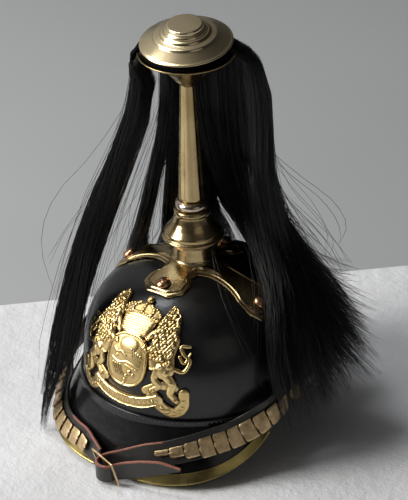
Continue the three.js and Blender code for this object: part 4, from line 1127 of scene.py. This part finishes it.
BEAST = {
    "body": [
        (17, 84), (20, 92), (21, 98), (25, 99), (30, 94), (35, 87), (37, 78), (41, 70),
        (40, 58), (42, 50), (38, 43), (30, 42), (22, 46), (19, 54), (18, 66), (19, 76)],
    "mane": [
        (18, 85), (20, 91), (28, 91), (33, 86), (36.5, 76), (39, 68), (38, 59), (31, 53),
        (22, 53), (19, 60), (18.5, 72)],
    "crown": [[(21, 88), (20.6, 93), (22.6, 98)], [(24.5, 88), (25, 92.5), (24.4, 98)],
              [(28.5, 88), (29, 91.5), (26.4, 97)], [(32, 86), (32.6, 89.5), (28.4, 95)]],
    "leg": [(36, 42), (42, 35), (41, 27), (46, 21)],
    "rear_leg": [(28, 45), (27, 38), (31, 33), (26, 28)],
    "arm": [(22, 78), (17, 74), (14, 69)],
    "forearm": [(22, 64), (16, 60), (13, 62)],
    "tail": [(41, 48), (50, 46), (53, 55), (47, 60), (43, 66), (50, 66)],
    "tail_tip": [(44, 58), (49, 53), (52, 61)],
    "belt": [(17, 47), (24, 46), (31, 49), (38, 54)],
}
RIBBON = {
    "middle": [(-30, 20), (-18, 15.4), (0, 13.6), (18, 15.4), (30, 20)],
    "fold": [(26, 24), (34, 14), (44, 9.5), (51, 15), (52, 27)],
    "back": [(20, 27), (32, 33), (44, 32)],
}


def outline_distance(points, outline):
    """Distance to a closed outline, positive inside it."""
    start = np.asarray(outline, float)
    edge = np.roll(start, -1, axis=0) - start
    gap = points[:, None] - start
    share = np.clip((gap * edge).sum(-1) / np.maximum((edge**2).sum(-1), 1e-9), 0, 1)
    near = np.linalg.norm(gap - edge * share[..., None], axis=-1).min(axis=1)
    end = start + edge
    spans = (start[:, 1] <= points[:, 1:2]) != (end[:, 1] <= points[:, 1:2])
    slope = edge[:, 0] / np.where(edge[:, 1] == 0, 1e-9, edge[:, 1])
    meets = start[:, 0] + (points[:, 1:2] - start[:, 1]) * slope
    odd = (spans & (points[:, :1] < meets)).sum(axis=1) % 2 == 1
    return np.where(odd, near, -near)


def line_distance(points, line):
    """Distance to an open line, and the share of it at the nearest point."""
    line = np.asarray(line, float)
    edge = np.diff(line, axis=0)
    gap = points[:, None] - line[:-1]
    share = np.clip((gap * edge).sum(-1) / np.maximum((edge**2).sum(-1), 1e-9), 0, 1)
    apart = np.linalg.norm(gap - edge * share[..., None], axis=-1)
    best = apart.argmin(axis=1)
    rows = np.arange(len(points))
    return apart[rows, best], (best + share[rows, best]) / len(edge)


def oval(u, v, half_u, half_v, power=2.0):
    """An oval outline, squarer with a higher power."""
    turn = full_turn(40)
    bend = 2 / power
    return np.stack([
        u + half_u * signed_power(np.cos(turn), bend), v + half_v * signed_power(np.sin(turn), bend),
    ], -1)


def both_sides(points):
    points = np.asarray(points, float)
    return [points, points * [-1, 1]]


class Relief:
    """Heights over a flat grid, raised one shape at a time. Depth is how far inside the outline."""

    def __init__(self):
        across = np.arange(-58, 58.01, CREST_STEP)
        up = np.arange(-1, 106.01, CREST_STEP)
        self.u, self.v = np.meshgrid(across, up)
        self.height = np.zeros(self.u.shape)
        self.depth = np.full(self.u.shape, -5.0)

    def near(self, points, reach):
        """The cells around some points, as a mask, with their places."""
        points = np.asarray(points, float)
        low, high = points.min(axis=0) - reach, points.max(axis=0) + reach
        mask = (self.u > low[0]) & (self.u < high[0]) & (self.v > low[1]) & (self.v < high[1])
        return mask, np.stack([self.u[mask], self.v[mask]], -1)

    def raise_to(self, mask, depth, height):
        """Raises cells to a height where that is above what is there, also just past the outline."""
        rise = np.where(depth > -0.8, height, 0)
        self.height[mask] = np.maximum(self.height[mask], rise)
        self.depth[mask] = np.maximum(self.depth[mask], depth)

    def plate(self, outline, base, top, edge, smooth=1.6):
        """A raised shape with rounded edges."""
        outline = eased(outline, smooth, 3) if smooth else outline
        mask, places = self.near(outline, 3)
        depth = outline_distance(places, outline)
        swell = np.sqrt(1 - (1 - np.clip(depth / edge, 0, 1)) ** 2)
        self.raise_to(mask, depth, base + (top - base) * swell)

    def limb(self, line, start, end, base, top):
        """A rounded limb along a smooth line, of the given widths."""
        line = curve_points(line, 8 * len(line))
        mask, places = self.near(line, max(start, end))
        apart, share = line_distance(places, line)
        half = (start + (end - start) * share) / 2
        swell = np.sqrt(np.clip(1 - (apart / half) ** 2, 0, 1))
        self.raise_to(mask, half - apart, base + (top - base) * swell)

    def ridge(self, line, width, rise, smooth=True):
        """A raised line on top of what is there. A negative rise cuts a groove."""
        line = curve_points(line, 8 * len(line)) if smooth else line
        mask, places = self.near(line, width)
        apart, _ = line_distance(places, line)
        swell = np.clip(1 - (2 * apart / width) ** 2, 0, 1)
        self.height[mask] += rise * swell ** (0.5 if rise > 0 else 1)

    def beads(self, centres, sizes, rise, stretch=1.0, turns=0.0):
        """Rounded bumps on top of what is there, stretched along their turns."""
        floor = self.height.copy()
        sizes = np.broadcast_to(sizes, len(centres))
        turns = np.broadcast_to(turns, len(centres))
        for centre, size, turn in zip(np.asarray(centres, float), sizes, turns):
            mask, places = self.near([centre], size * stretch + 0.1)
            gap = places - centre
            along = (gap[:, 0] * math.cos(turn) + gap[:, 1] * math.sin(turn)) / (size * stretch)
            aside = (gap[:, 1] * math.cos(turn) - gap[:, 0] * math.sin(turn)) / size
            swell = np.sqrt(np.clip(1 - along**2 - aside**2, 0, 1))
            here = floor[mask].max()
            bump = np.where(swell > 0, np.minimum(floor[mask] + 0.5, here) + rise * swell, 0)
            self.height[mask] = np.maximum(self.height[mask], bump)

    def beaded(self, line, size, rise):
        """A row of touching beads along a smooth line."""
        line = curve_points(line, 12 * len(line))
        walk = walked(line)
        places = np.linspace(size, walk[-1] - size, max(int(walk[-1] / (1.9 * size)), 2))
        self.beads(sampled(places, walk, line), size, rise)


def draw_supporters(relief):
    """Two upright beasts with curly manes, one on each side of the shield."""
    dice = np.random.default_rng(12)
    for tail, width in (("tail", 3.6), ("tail_tip", 2.8)):
        for line in both_sides(BEAST[tail]):
            relief.limb(line, width, width - 0.8, 0.7, 2.3)
    for body in both_sides(BEAST["body"]):
        relief.plate(body, RIM, BODY + 0.6, 4.5)
    for thigh in both_sides(oval(34.5, 47, 8, 8.4)):
        relief.plate(thigh, RIM, 3.3, 6, 0)
    limbs = (
        ("leg", 8, 5.4, 3.2), ("rear_leg", 6.4, 4.8, 2.7),
        ("arm", 5.6, 4.2, 3.2), ("forearm", 5.6, 4.2, 3.4),
    )
    for name, start, end, top in limbs:
        for line in both_sides(BEAST[name]):
            relief.limb(line, start, end, RIM, top)
            toes = line[-1] + np.array([(-1.4, 0.5), (0.2, -0.9), (1.6, 0.3)])
            relief.beads(toes, 1.1, 0.6)
    for mane in both_sides(BEAST["mane"]):
        side = np.sign(mane[:, 0].mean())
        rows = np.arange(52, 93, 2.75)
        spots = np.array([
            (side * (17 + 3.1 * k + 1.5 * (n % 2)), v) for n, v in enumerate(rows) for k in range(8)
        ])
        spots = spots + dice.normal(0, 0.35, spots.shape)
        spots = spots[outline_distance(spots, mane) > 0.2]
        count = len(spots)
        relief.beads(spots, dice.uniform(1.1, 1.7, count), 1.35, 1.35, dice.uniform(0, np.pi, count))
    for line in both_sides(BEAST["belt"]):
        relief.beaded(line, 1.05, 0.9)
    for rib in BEAST["crown"]:
        for line in both_sides(rib):
            relief.ridge(line, 2.0, 0.9)
    for tip in both_sides([(23.4, 98.6)]):
        relief.beads(tip, 1.7, 1.2)
    for knee in both_sides([(30, 49), (36, 44), (38, 50), (41, 36)]):
        relief.beads(knee, (2.6, 2.2, 2.4, 2.0), 0.5)


def draw_shield(relief):
    """An oval shield with a bright boss, studs, bars and waves of no particular meaning."""
    relief.plate(oval(0, 48, 19.6, 22.4, 2.5), RIM, BODY + 0.5, 1.6, 0)
    relief.plate(oval(0, 49, 15.4, 18.6, 2.4), BODY, 3.3, 12, 0)
    rim = oval(0, 48, 18.2, 21, 2.5)
    relief.ridge(np.concatenate([rim, rim[:1]]), 1.8, 0.8, smooth=False)
    relief.plate(oval(0.5, 60, 8.6, 6.4), 2.9, 4.0, 7, 0)
    relief.ridge([(-14, 47), (-6, 45), (2, 47), (13, 44.5)], 1.1, 0.5)
    relief.ridge([(1, 44.6), (7, 43), (12.5, 42)], 0.9, 0.5)
    for step in range(4):
        shift = 2.5 * step
        relief.ridge([(-11.5 + shift, 43), (-10 + shift, 39), (-7.5 + shift, 35.5)], 1.3, 0.7)
    for step in range(5):
        shift = 2.6 * step
        relief.ridge([(4.4 + shift * 0.8, 58 - shift * 0.4), (6.4 + shift * 0.8, 51.5)], 0.9, 0.45)
    relief.ridge([(-12.5, 55), (-9, 53), (-4.5, 54), (0, 51.5)], 2.0, 0.9)
    relief.beads(
        [(-11.4, 60), (-8.5, 50), (5.4, 39), (8.6, 37.5), (2.6, 35.6), (1.2, 32), (0.2, 28.8)],
        (1.5, 1.1, 1.9, 1.2, 1.5, 1.3, 1.2), 0.9)


def draw_crown(relief):
    """A striped band, a low vault with five beaded arches, and an orb."""
    band = [
        (-16, 83), (-13, 69.5), (-6, 67.8), (6, 67.8), (13, 69.5), (16, 83),
        (8, 85.4), (0, 86.2), (-8, 85.4),
    ]
    vault = [
        (-16.4, 82), (-17.8, 88), (-14, 93), (-6, 96), (0, 98),
        (6, 96), (14, 93), (17.8, 88), (16.4, 82),
    ]
    relief.plate(band, RIM, 3.0, 3.5)
    relief.plate(vault, RIM, 3.0, 5)
    for rise in np.arange(69.6, 82, 1.75):
        half = 12 + (rise - 69) * 0.27
        relief.ridge([(-half, rise), (0, rise + 1.7), (half, rise)], 0.9, -0.35)
    relief.beaded([(-16.6, 83.6), (-8, 86.2), (0, 87), (8, 86.2), (16.6, 83.6)], 1.15, 0.8)
    for arch in ([(16, 84), (17, 88.5), (12.5, 92.6), (5, 95.4)], [(8.4, 86), (9.6, 91), (4, 96)]):
        for line in both_sides(arch):
            relief.beaded(line, 1.25, 1.1)
    relief.beaded([(0, 86.5), (0, 96.5)], 1.25, 1.1)
    relief.plate(oval(0, 100.2, 3.5, 3.3), RIM, 3.9, 3, 0)
    relief.ridge([(-3.4, 99.4), (0, 98.8), (3.4, 99.4)], 1.1, 0.4)


def draw_ribbon(relief):
    """A ribbon with raised edges and a row of plain raised marks, folded back at both ends."""
    for line in both_sides(RIBBON["back"]):
        relief.limb(line, 6.6, 6.6, 1.0, 1.8)
    for line in both_sides(RIBBON["fold"]):
        relief.limb(line, 9.6, 8.6, 1.4, 2.3)
        relief.ridge(np.asarray(line) * [0.9, 1] + [0, 2.6], 0.9, 0.5)
        curve = curve_points(line, 9)
        relief.beads(curve[1:8], 1.3, 0.45, 1.3, 0.6)
    middle = np.asarray(RIBBON["middle"], float)
    relief.limb(middle, 10, 10, 2.0, 2.7)
    for shift in (4.2, -4.2):
        relief.ridge(middle + [0, shift], 1.1, 0.8)
    curve = curve_points(middle, 15)
    relief.beads(curve[1:14], 0.9, 0.6, 2.0, np.pi / 2)


def crest_cells(depth):
    """The cells whose middle is inside the outline, filled in where two only touch at a corner."""
    kept = (depth[:-1, :-1] + depth[1:, :-1] + depth[:-1, 1:] + depth[1:, 1:]) > 0
    kept[[0, -1]] = kept[:, [0, -1]] = False
    for _ in range(3):
        a, b, c, d = kept[:-1, :-1], kept[1:, :-1], kept[:-1, 1:], kept[1:, 1:]
        crossed = (a & d & ~b & ~c) | (b & c & ~a & ~d)
        for rows in (slice(None, -1), slice(1, None)):
            for columns in (slice(None, -1), slice(1, None)):
                kept[rows, columns] |= crossed
    return kept


def crest_faces(kept, used):
    """The front, the back and the sides of a plate over the kept cells."""
    total = int(used.sum())
    number = np.full(used.shape, -1)
    number[used] = np.arange(total)
    rows, columns = np.nonzero(kept)
    quad = np.stack([
        number[rows, columns], number[rows, columns + 1],
        number[rows + 1, columns + 1], number[rows + 1, columns],
    ], -1)
    edges = np.concatenate([np.stack([quad[:, k], quad[:, (k + 1) % 4]], -1) for k in range(4)])
    keys = set(map(tuple, edges.tolist()))
    border = np.array([(a, b) for a, b in keys if (b, a) not in keys])
    sides = np.stack([border[:, 0], border[:, 0] + total, border[:, 1] + total, border[:, 1]], -1)
    return np.concatenate([quad, quad[:, ::-1] + total, sides]).tolist()


def blurred(height):
    """The relief made soft, to tell what is high from what is low around it."""
    soft = height.copy()
    for _ in range(10):
        middle = soft[1:-1, 1:-1]
        sums = soft[:-2, 1:-1] + soft[2:, 1:-1] + soft[1:-1, :-2] + soft[1:-1, 2:]
        soft[1:-1, 1:-1] = 0.4 * middle + 0.15 * sums
    return soft


def build_crest():
    """The relief as a plate that is bent round the skull's front."""
    relief = Relief()
    draw_supporters(relief)
    draw_ribbon(relief)
    draw_shield(relief)
    draw_crown(relief)
    u, v, depth = relief.u, relief.v, relief.depth
    height = np.clip(relief.height, 0.8, 4.3)
    kept = crest_cells(depth)

    # The outermost points move on to the true outline.
    around = np.zeros((4, *u.shape), bool)
    around[0, :-1, :-1] = around[1, 1:, :-1] = around[2, :-1, 1:] = around[3, 1:, 1:] = kept
    used = around.any(axis=0)
    rim = used & ~around.all(axis=0)
    slope_v, slope_u = np.gradient(depth, CREST_STEP)
    steep = np.maximum(np.hypot(slope_u, slope_v), 0.5) ** 2
    shift = np.clip(-depth / steep, -0.45, 0.45) * rim
    u = u + slope_u * shift
    v = v + slope_v * shift

    # Bent on to the skull: v is walked up the skull's front, and u round it.
    levels = np.linspace(0, 0.999, 500)
    level = np.interp(v[used], walked(skull_point(0, levels)), levels)
    ratio = (1 - level ** SKULL["crown"]) ** (1 / SKULL["shoulder"])
    angle = u[used] / (ratio * SKULL["half"])
    normal = skull_normal(angle, level)
    foot = skull_point(angle, level) + normal * CREST_LIFT
    front = foot + normal * height[used][:, None]
    piece = object_from("crest_relief", np.concatenate([front, foot]), crest_faces(kept, used), 50)
    high = np.clip(0.5 + 0.9 * (height - blurred(height))[used], 0, 1)
    store_values(piece.data, "relief", np.concatenate([high, high]))
    finish_piece(piece, GILT, ["crest"])


# ---------- straps, scales, buckle, bosses ----------

def leaning(x, y, z, half, lean=0.0):
    """A row of a strap's route that stands and leans in by some degrees: place, way up and half
    height."""
    inward = unit([-x, -y, 0])
    return np.array([x, y, z]), unit(UP + inward * math.tan(math.radians(lean))), half


def lying(turn, drop, clear, half):
    """A row of a strap's route that lies on the front peak: how far round, down and clear of it."""
    rim, root, down, normal = visor_frame(front_rim, turn)
    return root + (rim - root) * drop + normal * clear, -down, half


RIGHT_ROUTE = [
    leaning(101.6, -6.5, 59, 10.5), leaning(102.4, -22, 56.8, 10.7, 3), leaning(101, -37, 53, 10.8, 10),
    leaning(96, -50, 48.2, 10.8, 22), lying(1.17, 0.26, 4.6, 10.8), lying(1, 0.29, 3.4, 10.8),
    lying(0.8, 0.34, 2.8, 10.7), lying(0.6, 0.4, 2.8, 10.4), lying(0.42, 0.47, 3.2, 10),
    lying(0.25, 0.54, 4.2, 9.5), leaning(9.6, -117.2, 15.8, 8.8, 12), leaning(0.4, -121.2, 13.2, 8.4, 2),
    leaning(-4.6, -125.6, 11.6, 8), leaning(-4.8, -130.6, 11, 7.8), leaning(-0.6, -134.6, 10.9, 7.8),
    leaning(5.4, -135.4, 10.9, 7.8), leaning(10, -133, 10.9, 7.8), leaning(11.8, -128.6, 11, 7.8),
    leaning(16.4, -124.4, 11.8, 7.8), leaning(25, -121.4, 14.6, 7.8), leaning(35, -118.6, 17.8, 7.5),
    leaning(49, -113.8, 21, 6), leaning(65, -108.6, 22.4, 1.4),
]
LEFT_ROUTE = [
    leaning(-101.6, -6.5, 59, 10.5), leaning(-102.4, -22, 55, 10.7, 2),
    leaning(-101.8, -37, 48.8, 10.8, 8), leaning(-97.8, -51, 41.4, 10.6, 18),
    lying(-1.16, 0.5, 4.4, 10.4), lying(-0.98, 0.62, 3.6, 10.2), lying(-0.8, 0.69, 3.4, 9.9),
    lying(-0.62, 0.7, 3.4, 9.6), lying(-0.44, 0.69, 3.4, 9.4), lying(-0.28, 0.68, 3.6, 9.2),
    leaning(-11, -120.75, 13.2, 8.6, 10),
]
STRAP_THICK = 2.2
BARE_EDGE = 1.3  # how much of the width is worn bare along an edge
BARE_FADE = 8  # the length over which the wear sets in


class Band:
    """Even stations along a strap: place, up, outward and half height."""

    def __init__(self, route, per_row=8):
        total = (len(route) - 1) * per_row
        self.at = curve_points([row[0] for row in route], total + 1)
        self.along = unit(np.gradient(self.at, axis=0))
        place = np.arange(total + 1) / per_row
        row = np.minimum(place.astype(int), len(route) - 2)
        share = (place - row)[:, None]
        ups = np.array([r[1] for r in route])
        up = ups[row] * (1 - share) + ups[row + 1] * share
        self.up = unit(up - self.along * (up * self.along).sum(1, keepdims=True))
        halves = np.array([r[2] for r in route])
        self.half = halves[row] * (1 - share[:, 0]) + halves[row + 1] * share[:, 0]
        self.out = unit(np.cross(self.up, self.along))
        self.walk = walked(self.at)

    def frame(self, distance):
        """Place, up, outward and half height at a distance along the strap."""
        at, up, out = (sampled(distance, self.walk, rows) for rows in (self.at, self.up, self.out))
        return at, unit(up), unit(out), np.interp(distance, self.walk, self.half)


def build_strap(name, node, band, bare_from):
    """A flat strap. From bare_from along it, its top edge has lost its black."""
    t = STRAP_THICK / 2
    rings, values = [], []
    for i, half in enumerate(band.half):
        corners = [(-t, 0), (-t, -half), (t, -half), (t, 0)]
        foot = eased(corners, 0.75, 5, closed=False)[1:-1]
        inner = max(half - BARE_EDGE, 0.3 * half)
        face = np.array([(t, -inner), (t, 0.4 - inner), (t, inner - 0.4), (t, inner)])
        section = np.concatenate([foot, face, -foot, -face])
        rings.append([band.at[i] + band.out[i] * across + band.up[i] * up for across, up in section])
        edge_share = np.clip((np.abs(section[:, 1]) - inner + 0.4) / 0.4, 0, 1)
        worn = np.interp(band.walk[i], [bare_from, bare_from + BARE_FADE], [0, 1])
        values.append(edge_share * np.where(section[:, 1] > 0, worn, 0.0))
    body = Body()
    body.loft(rings, values=values)
    finish_piece(body.piece(name, 60, "bare"), STRAP, [node])


# A plate's lobed front edge: how far from the middle of its height, and how far forward.
HALF_EDGE = [
    (0, 1.06), (0.06, 1.0), (0.14, 0.95), (0.3, 0.985), (0.5, 1.01), (0.8, 1.0), (0.9, 0.97), (1, 0.9),
]
SCALE = {"length": 14.8, "thick": 0.9, "lift": 0.4, "slope": 0.13, "pitch": 12.1, "first": 14.4}


def build_scales(name, nodes, band, taper, side):
    """Overlapping plates along a strap, the last ones lower. Taper is how many of them shrink, and
    side is 1 where outwards is the band's own out, or -1."""
    body = Body()
    count = len(nodes)
    heights = np.unique([*np.linspace(-1, 1, 17), -0.14, -0.06, 0.06, 0.14])
    reach = np.interp(np.abs(heights), *np.array(HALF_EDGE).T)
    steps = np.array([0, 0.1, 0.17, 0.24, 0.31, *np.linspace(0.4, 1, 7)])
    # Painted shadow: each plate is dark at its start, under the front edge of the plate before it.
    under_edge_shade = np.repeat(np.interp(steps, [0.22, 0.32], [1, 0])[:, None], 2 * len(heights), axis=1)
    for number in range(count):
        middle = SCALE["first"] + number * SCALE["pitch"]
        leather_half = band.frame(middle)[3]
        share = min((count + 0.2 - number) / taper, 1) ** 0.9
        half = (leather_half - 2.7) * share
        raised = 2.6 - 5.4 * share
        layers = []
        for out in (0, SCALE["thick"]):
            rows = []
            for t in steps:
                along = t * reach * SCALE["length"]
                at, up, outward, _ = band.frame(middle - SCALE["length"] / 2 + along)
                swell = 0.55 * (1 - heights**2) * (1 if out else 0.8)
                soft = -0.3 * np.clip((t - 0.88) / 0.12, 0, 1) if out else 0
                edge = -0.25 * (np.abs(heights) > 0.99) if out else 0
                clear = STRAP_THICK / 2 + SCALE["lift"] + SCALE["slope"] * along
                clear = clear + out + swell + soft + edge
                rise = heights[:, None] * half + raised
                rows.append(at + up * rise + outward * (side * clear)[:, None])
            layers.append(rows)
        # A ring round each station along the plate: over its top and back under it.
        rings = [np.concatenate([over, under[::-1]]) for under, over in zip(*layers)]
        body.loft(rings, values=under_edge_shade)
    finish_piece(body.piece(name, 40, "under_edge_shade"), SCALE_BRASS, nodes)


# A flat frame from one corner, with its edges along two sides and a bar that starts at "middle".
BUCKLE = {
    "corner": (-13.2, -126, 23.8), "across": (29.1, -10.4, 0), "down": (4.4, 5, -22.3),
    "width": 2.2, "edge": 1.1, "middle": 15, "thick": 1.3, "round": 0.28,
}


# For each side of a cell, the way to its neighbour and the two corners of that side.
CELL_SIDES = {
    (-1, 0): ((0, 0), (0, 1)), (1, 0): ((1, 0), (1, 1)),
    (0, -1): ((0, 0), (1, 0)), (0, 1): ((0, 1), (1, 1)),
}


def build_buckle():
    """The frame and its middle bar as cells of a flat grid, with all edges rounded."""
    b = BUCKLE
    across, down = np.array(b["across"], float), np.array(b["down"], float)
    length, height = np.linalg.norm(across), np.linalg.norm(down)
    xs = [0, b["width"], b["middle"], b["middle"] + b["width"], length - b["width"], length]
    ys = [0, b["edge"], height - b["edge"], height]
    x = unit(across)
    y = unit(down - x * (down @ x))
    z = np.cross(x, y)
    work = bmesh.new()
    grid = {}
    for k, level in enumerate((-b["thick"] / 2, b["thick"] / 2)):
        for i, u in enumerate(xs):
            for j, v in enumerate(ys):
                point = np.array(b["corner"]) + x * u + y * v + z * level
                grid[i, j, k] = work.verts.new(placed(point))
    solid = {(i, j) for i in range(5) for j in range(3) if not (j == 1 and i in (1, 3))}
    for i, j in solid:
        for k in (0, 1):
            around = ((i, j), (i + 1, j), (i + 1, j + 1), (i, j + 1))
            work.faces.new([grid[*cell, k] for cell in around])
        for (di, dj), ends in CELL_SIDES.items():
            if (i + di, j + dj) not in solid:
                first, second = ((i + ei, j + ej) for ei, ej in ends)
                work.faces.new([grid[*first, 0], grid[*second, 0], grid[*second, 1], grid[*first, 1]])
    bmesh.ops.recalc_face_normals(work, faces=work.faces)
    sharp = [edge for edge in work.edges if edge.calc_face_angle(0) > 1]
    round_off = b["round"] / 1000
    bmesh.ops.bevel(work, geom=sharp, offset=round_off, segments=3, profile=0.5, affect="EDGES")
    mesh = bpy.data.meshes.new("buckle")
    work.to_mesh(mesh)
    work.free()
    soften(mesh, 50)
    finish_piece(shown("brass_buckle", mesh), SCALE_BRASS, ["buckle_frame"])


BOSS = {"head_at": 103.2, "y": -0.5, "z": 58.8}


def build_bosses():
    """A post out of each side of the skull, with a domed head that the chin scales start from."""
    skull_side = SKULL["half"] + GAP
    reach = BOSS["head_at"] - skull_side
    profile = [
        (0, 0), (3, 0), (3, reach), (11, reach), (11, reach + 1), (9, reach + 2.6),
        (4, reach + 3.2), (0, reach + 3.2),
    ]
    cuts = [0, 0, 0, 0.3, 0.6, 0.9, 2, 0]
    for side, word in ((1, "right"), (-1, "left")):
        turn = [[0, 0, side], [0, 1, 0], [-side, 0, 0]]
        seat = (side * skull_side, BOSS["y"], BOSS["z"])
        boss = turned(f"turned_boss_{word}", profile, cuts, 56, seated(turn, seat))
        finish_piece(boss, BRASS, [f"chin_boss_{word}"])


# ---------- stage, light and camera ----------

def build_camera():
    data = bpy.data.cameras.new("camera")
    data.lens = CAMERA["lens"]
    data.sensor_width = 36
    data.clip_start, data.clip_end = 0.05, 60
    camera = shown("camera", data)
    back = TO_CAMERA * math.cos(ELEVATION) + UP * math.sin(ELEVATION)
    up = np.cross(back, IMAGE_RIGHT)
    roll = math.radians(CAMERA["roll"])
    x = IMAGE_RIGHT * math.cos(roll) - up * math.sin(roll)
    y = IMAGE_RIGHT * math.sin(roll) + up * math.cos(roll)
    place = placed(TARGET) + back * CAMERA["distance"] / 1000
    camera.matrix_world = Matrix(seated(np.stack([x, y, back], -1), place).tolist())
    bpy.context.scene.camera = camera


HEM = [(-248.8, 33.5, 0), (8.9, 295.7, 0)]


def flat_sheet(name, corners, z, finish):
    mesh = bpy.data.meshes.new(name)
    mesh.from_pydata([(*c, z) for c in corners], [], [tuple(range(len(corners)))])
    mesh.materials.append(finish)
    sheet = shown(name, mesh)


def build_stage():
    """A pale cloth that ends along a straight hem behind the helmet, on a grey ground."""
    cloth = Finish("pale_cloth", **{"IOR": 1.4})
    tone = cloth.noise(7, 4)
    cloth_material = cloth.set(
        Base_Color=cloth.ramp(tone, (0.3, (0.62, 0.62, 0.63)), (0.7, (0.78, 0.78, 0.79))),
        Roughness=cloth.spread(cloth.noise(400, 3), 0, 1, 0.8, 1.0),
        Normal=cloth.bump(cloth.noise(60, 5, 0.7), 0.004, 0.5),
    )
    ground = Finish("grey_ground", **{"IOR": 1.4})
    ground_material = ground.set(
        Base_Color=ground.ramp(
            ground.noise(2, 2), (0.3, (0.36, 0.365, 0.365)), (0.7, (0.39, 0.395, 0.395))),
        Roughness=ground.spread(ground.noise(300, 3), 0, 1, 0.8, 1.0),
    )
    start, end = placed(HEM[0])[:2], placed(HEM[1])[:2]
    run = unit(end - start)
    near = np.array([run[1], -run[0]]) * 2.6
    hem = [start - run * 2, end + run * 2]
    corners = [hem[0], hem[0] + near, hem[1] + near, hem[1]]
    flat_sheet("cloth", corners, -0.0004, cloth_material)
    flat_sheet("ground", [(-5, -5), (5, -5), (5, 5), (-5, 5)], -0.002, ground_material)


def area_light(name, place, aim, size, power, colour):
    data = bpy.data.lights.new(name, "AREA")
    data.shape = "RECTANGLE"
    data.size, data.size_y = size
    data.energy = power
    data.color = colour
    light = shown(name, data)
    light.location = place
    light.rotation_mode = "QUATERNION"
    light.rotation_quaternion = (Vector(aim) - Vector(place)).to_track_quat("-Z", "Y")


def spot(right, toward, up):
    """A place in metres, as seen by the camera."""
    return tuple(IMAGE_RIGHT * right + TO_CAMERA * toward + UP * up)


def build_light():
    """A window on the left, a skylight behind it, a weak fill and a room that is paler on the left."""
    area_light("window", spot(-1.6, 0.25, 1.15), (0, 0, 0.14), (0.9, 1.2), 42, (1.0, 0.99, 0.97))
    area_light("sky", spot(-0.78, -0.72, 2.1), (0, 0, 0.25), (0.5, 0.75), 15, (0.95, 0.98, 1.0))
    area_light("fill", spot(0.9, 1.6, 1.1), (0, 0, 0.15), (1.2, 1.2), 1.5, (1.0, 0.97, 0.92))
    bpy.context.scene.view_settings.view_transform = "Standard"
    world = bpy.data.worlds.new("room")
    bpy.context.scene.world = world
    world.use_nodes = True
    tree = world.node_tree
    tree.nodes.clear()
    place = add_node(tree, "TexCoord").outputs["Generated"]
    pale_side = tuple(unit(-IMAGE_RIGHT * 0.8 - TO_CAMERA * 0.35 + UP * 0.5))
    toward = add_node(tree, "VectorMath", {0: place, 1: pale_side}, operation="DOT_PRODUCT")
    greys = ((0.0, 0.02), (0.3, 0.06), (0.6, 0.2), (1.0, 0.42))
    stops = [(at, (grey, grey, grey * 1.01)) for at, grey in greys]
    colour = add_ramp(tree, toward.outputs["Value"], stops)
    back = add_node(tree, "Background", {"Color": colour, "Strength": 1.0})
    add_node(tree, "OutputWorld", {"Surface": back.outputs[0]})


# ---------- build ----------

build_camera()
build_skull()
build_visor("front_peak", "front_visor", front_rim, even_turns(FRONT_RIM, 120), False)
trim_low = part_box("visor_trim")[0].z * 1000 - ORIGIN[2] * 1000
build_visor(
    "rear_peak", "rear_visor", lambda turn: rear_rim(turn, trim_low), even_turns(REAR_RIM, 128), True)
build_trim(even_turns(FRONT_RIM, 120)[4:-4])
build_seams()
build_cross_base()
build_studs()
build_rings()
build_stem()
build_cap()
build_plume()
build_crest()
right_band, left_band = Band(RIGHT_ROUTE), Band(LEFT_ROUTE)
build_strap("right_strap", "strap_right", right_band, 120)
build_strap("left_strap", "strap_left", left_band, 118)
build_scales("right_scales", [f"scale_right_{n:02d}" for n in range(1, 11)], right_band, 4.2, 1)
build_scales("left_scales", [f"scale_left_{n:02d}" for n in range(1, 13)], left_band, 1.4, -1)
build_buckle()
build_bosses()
build_stage()
build_light()
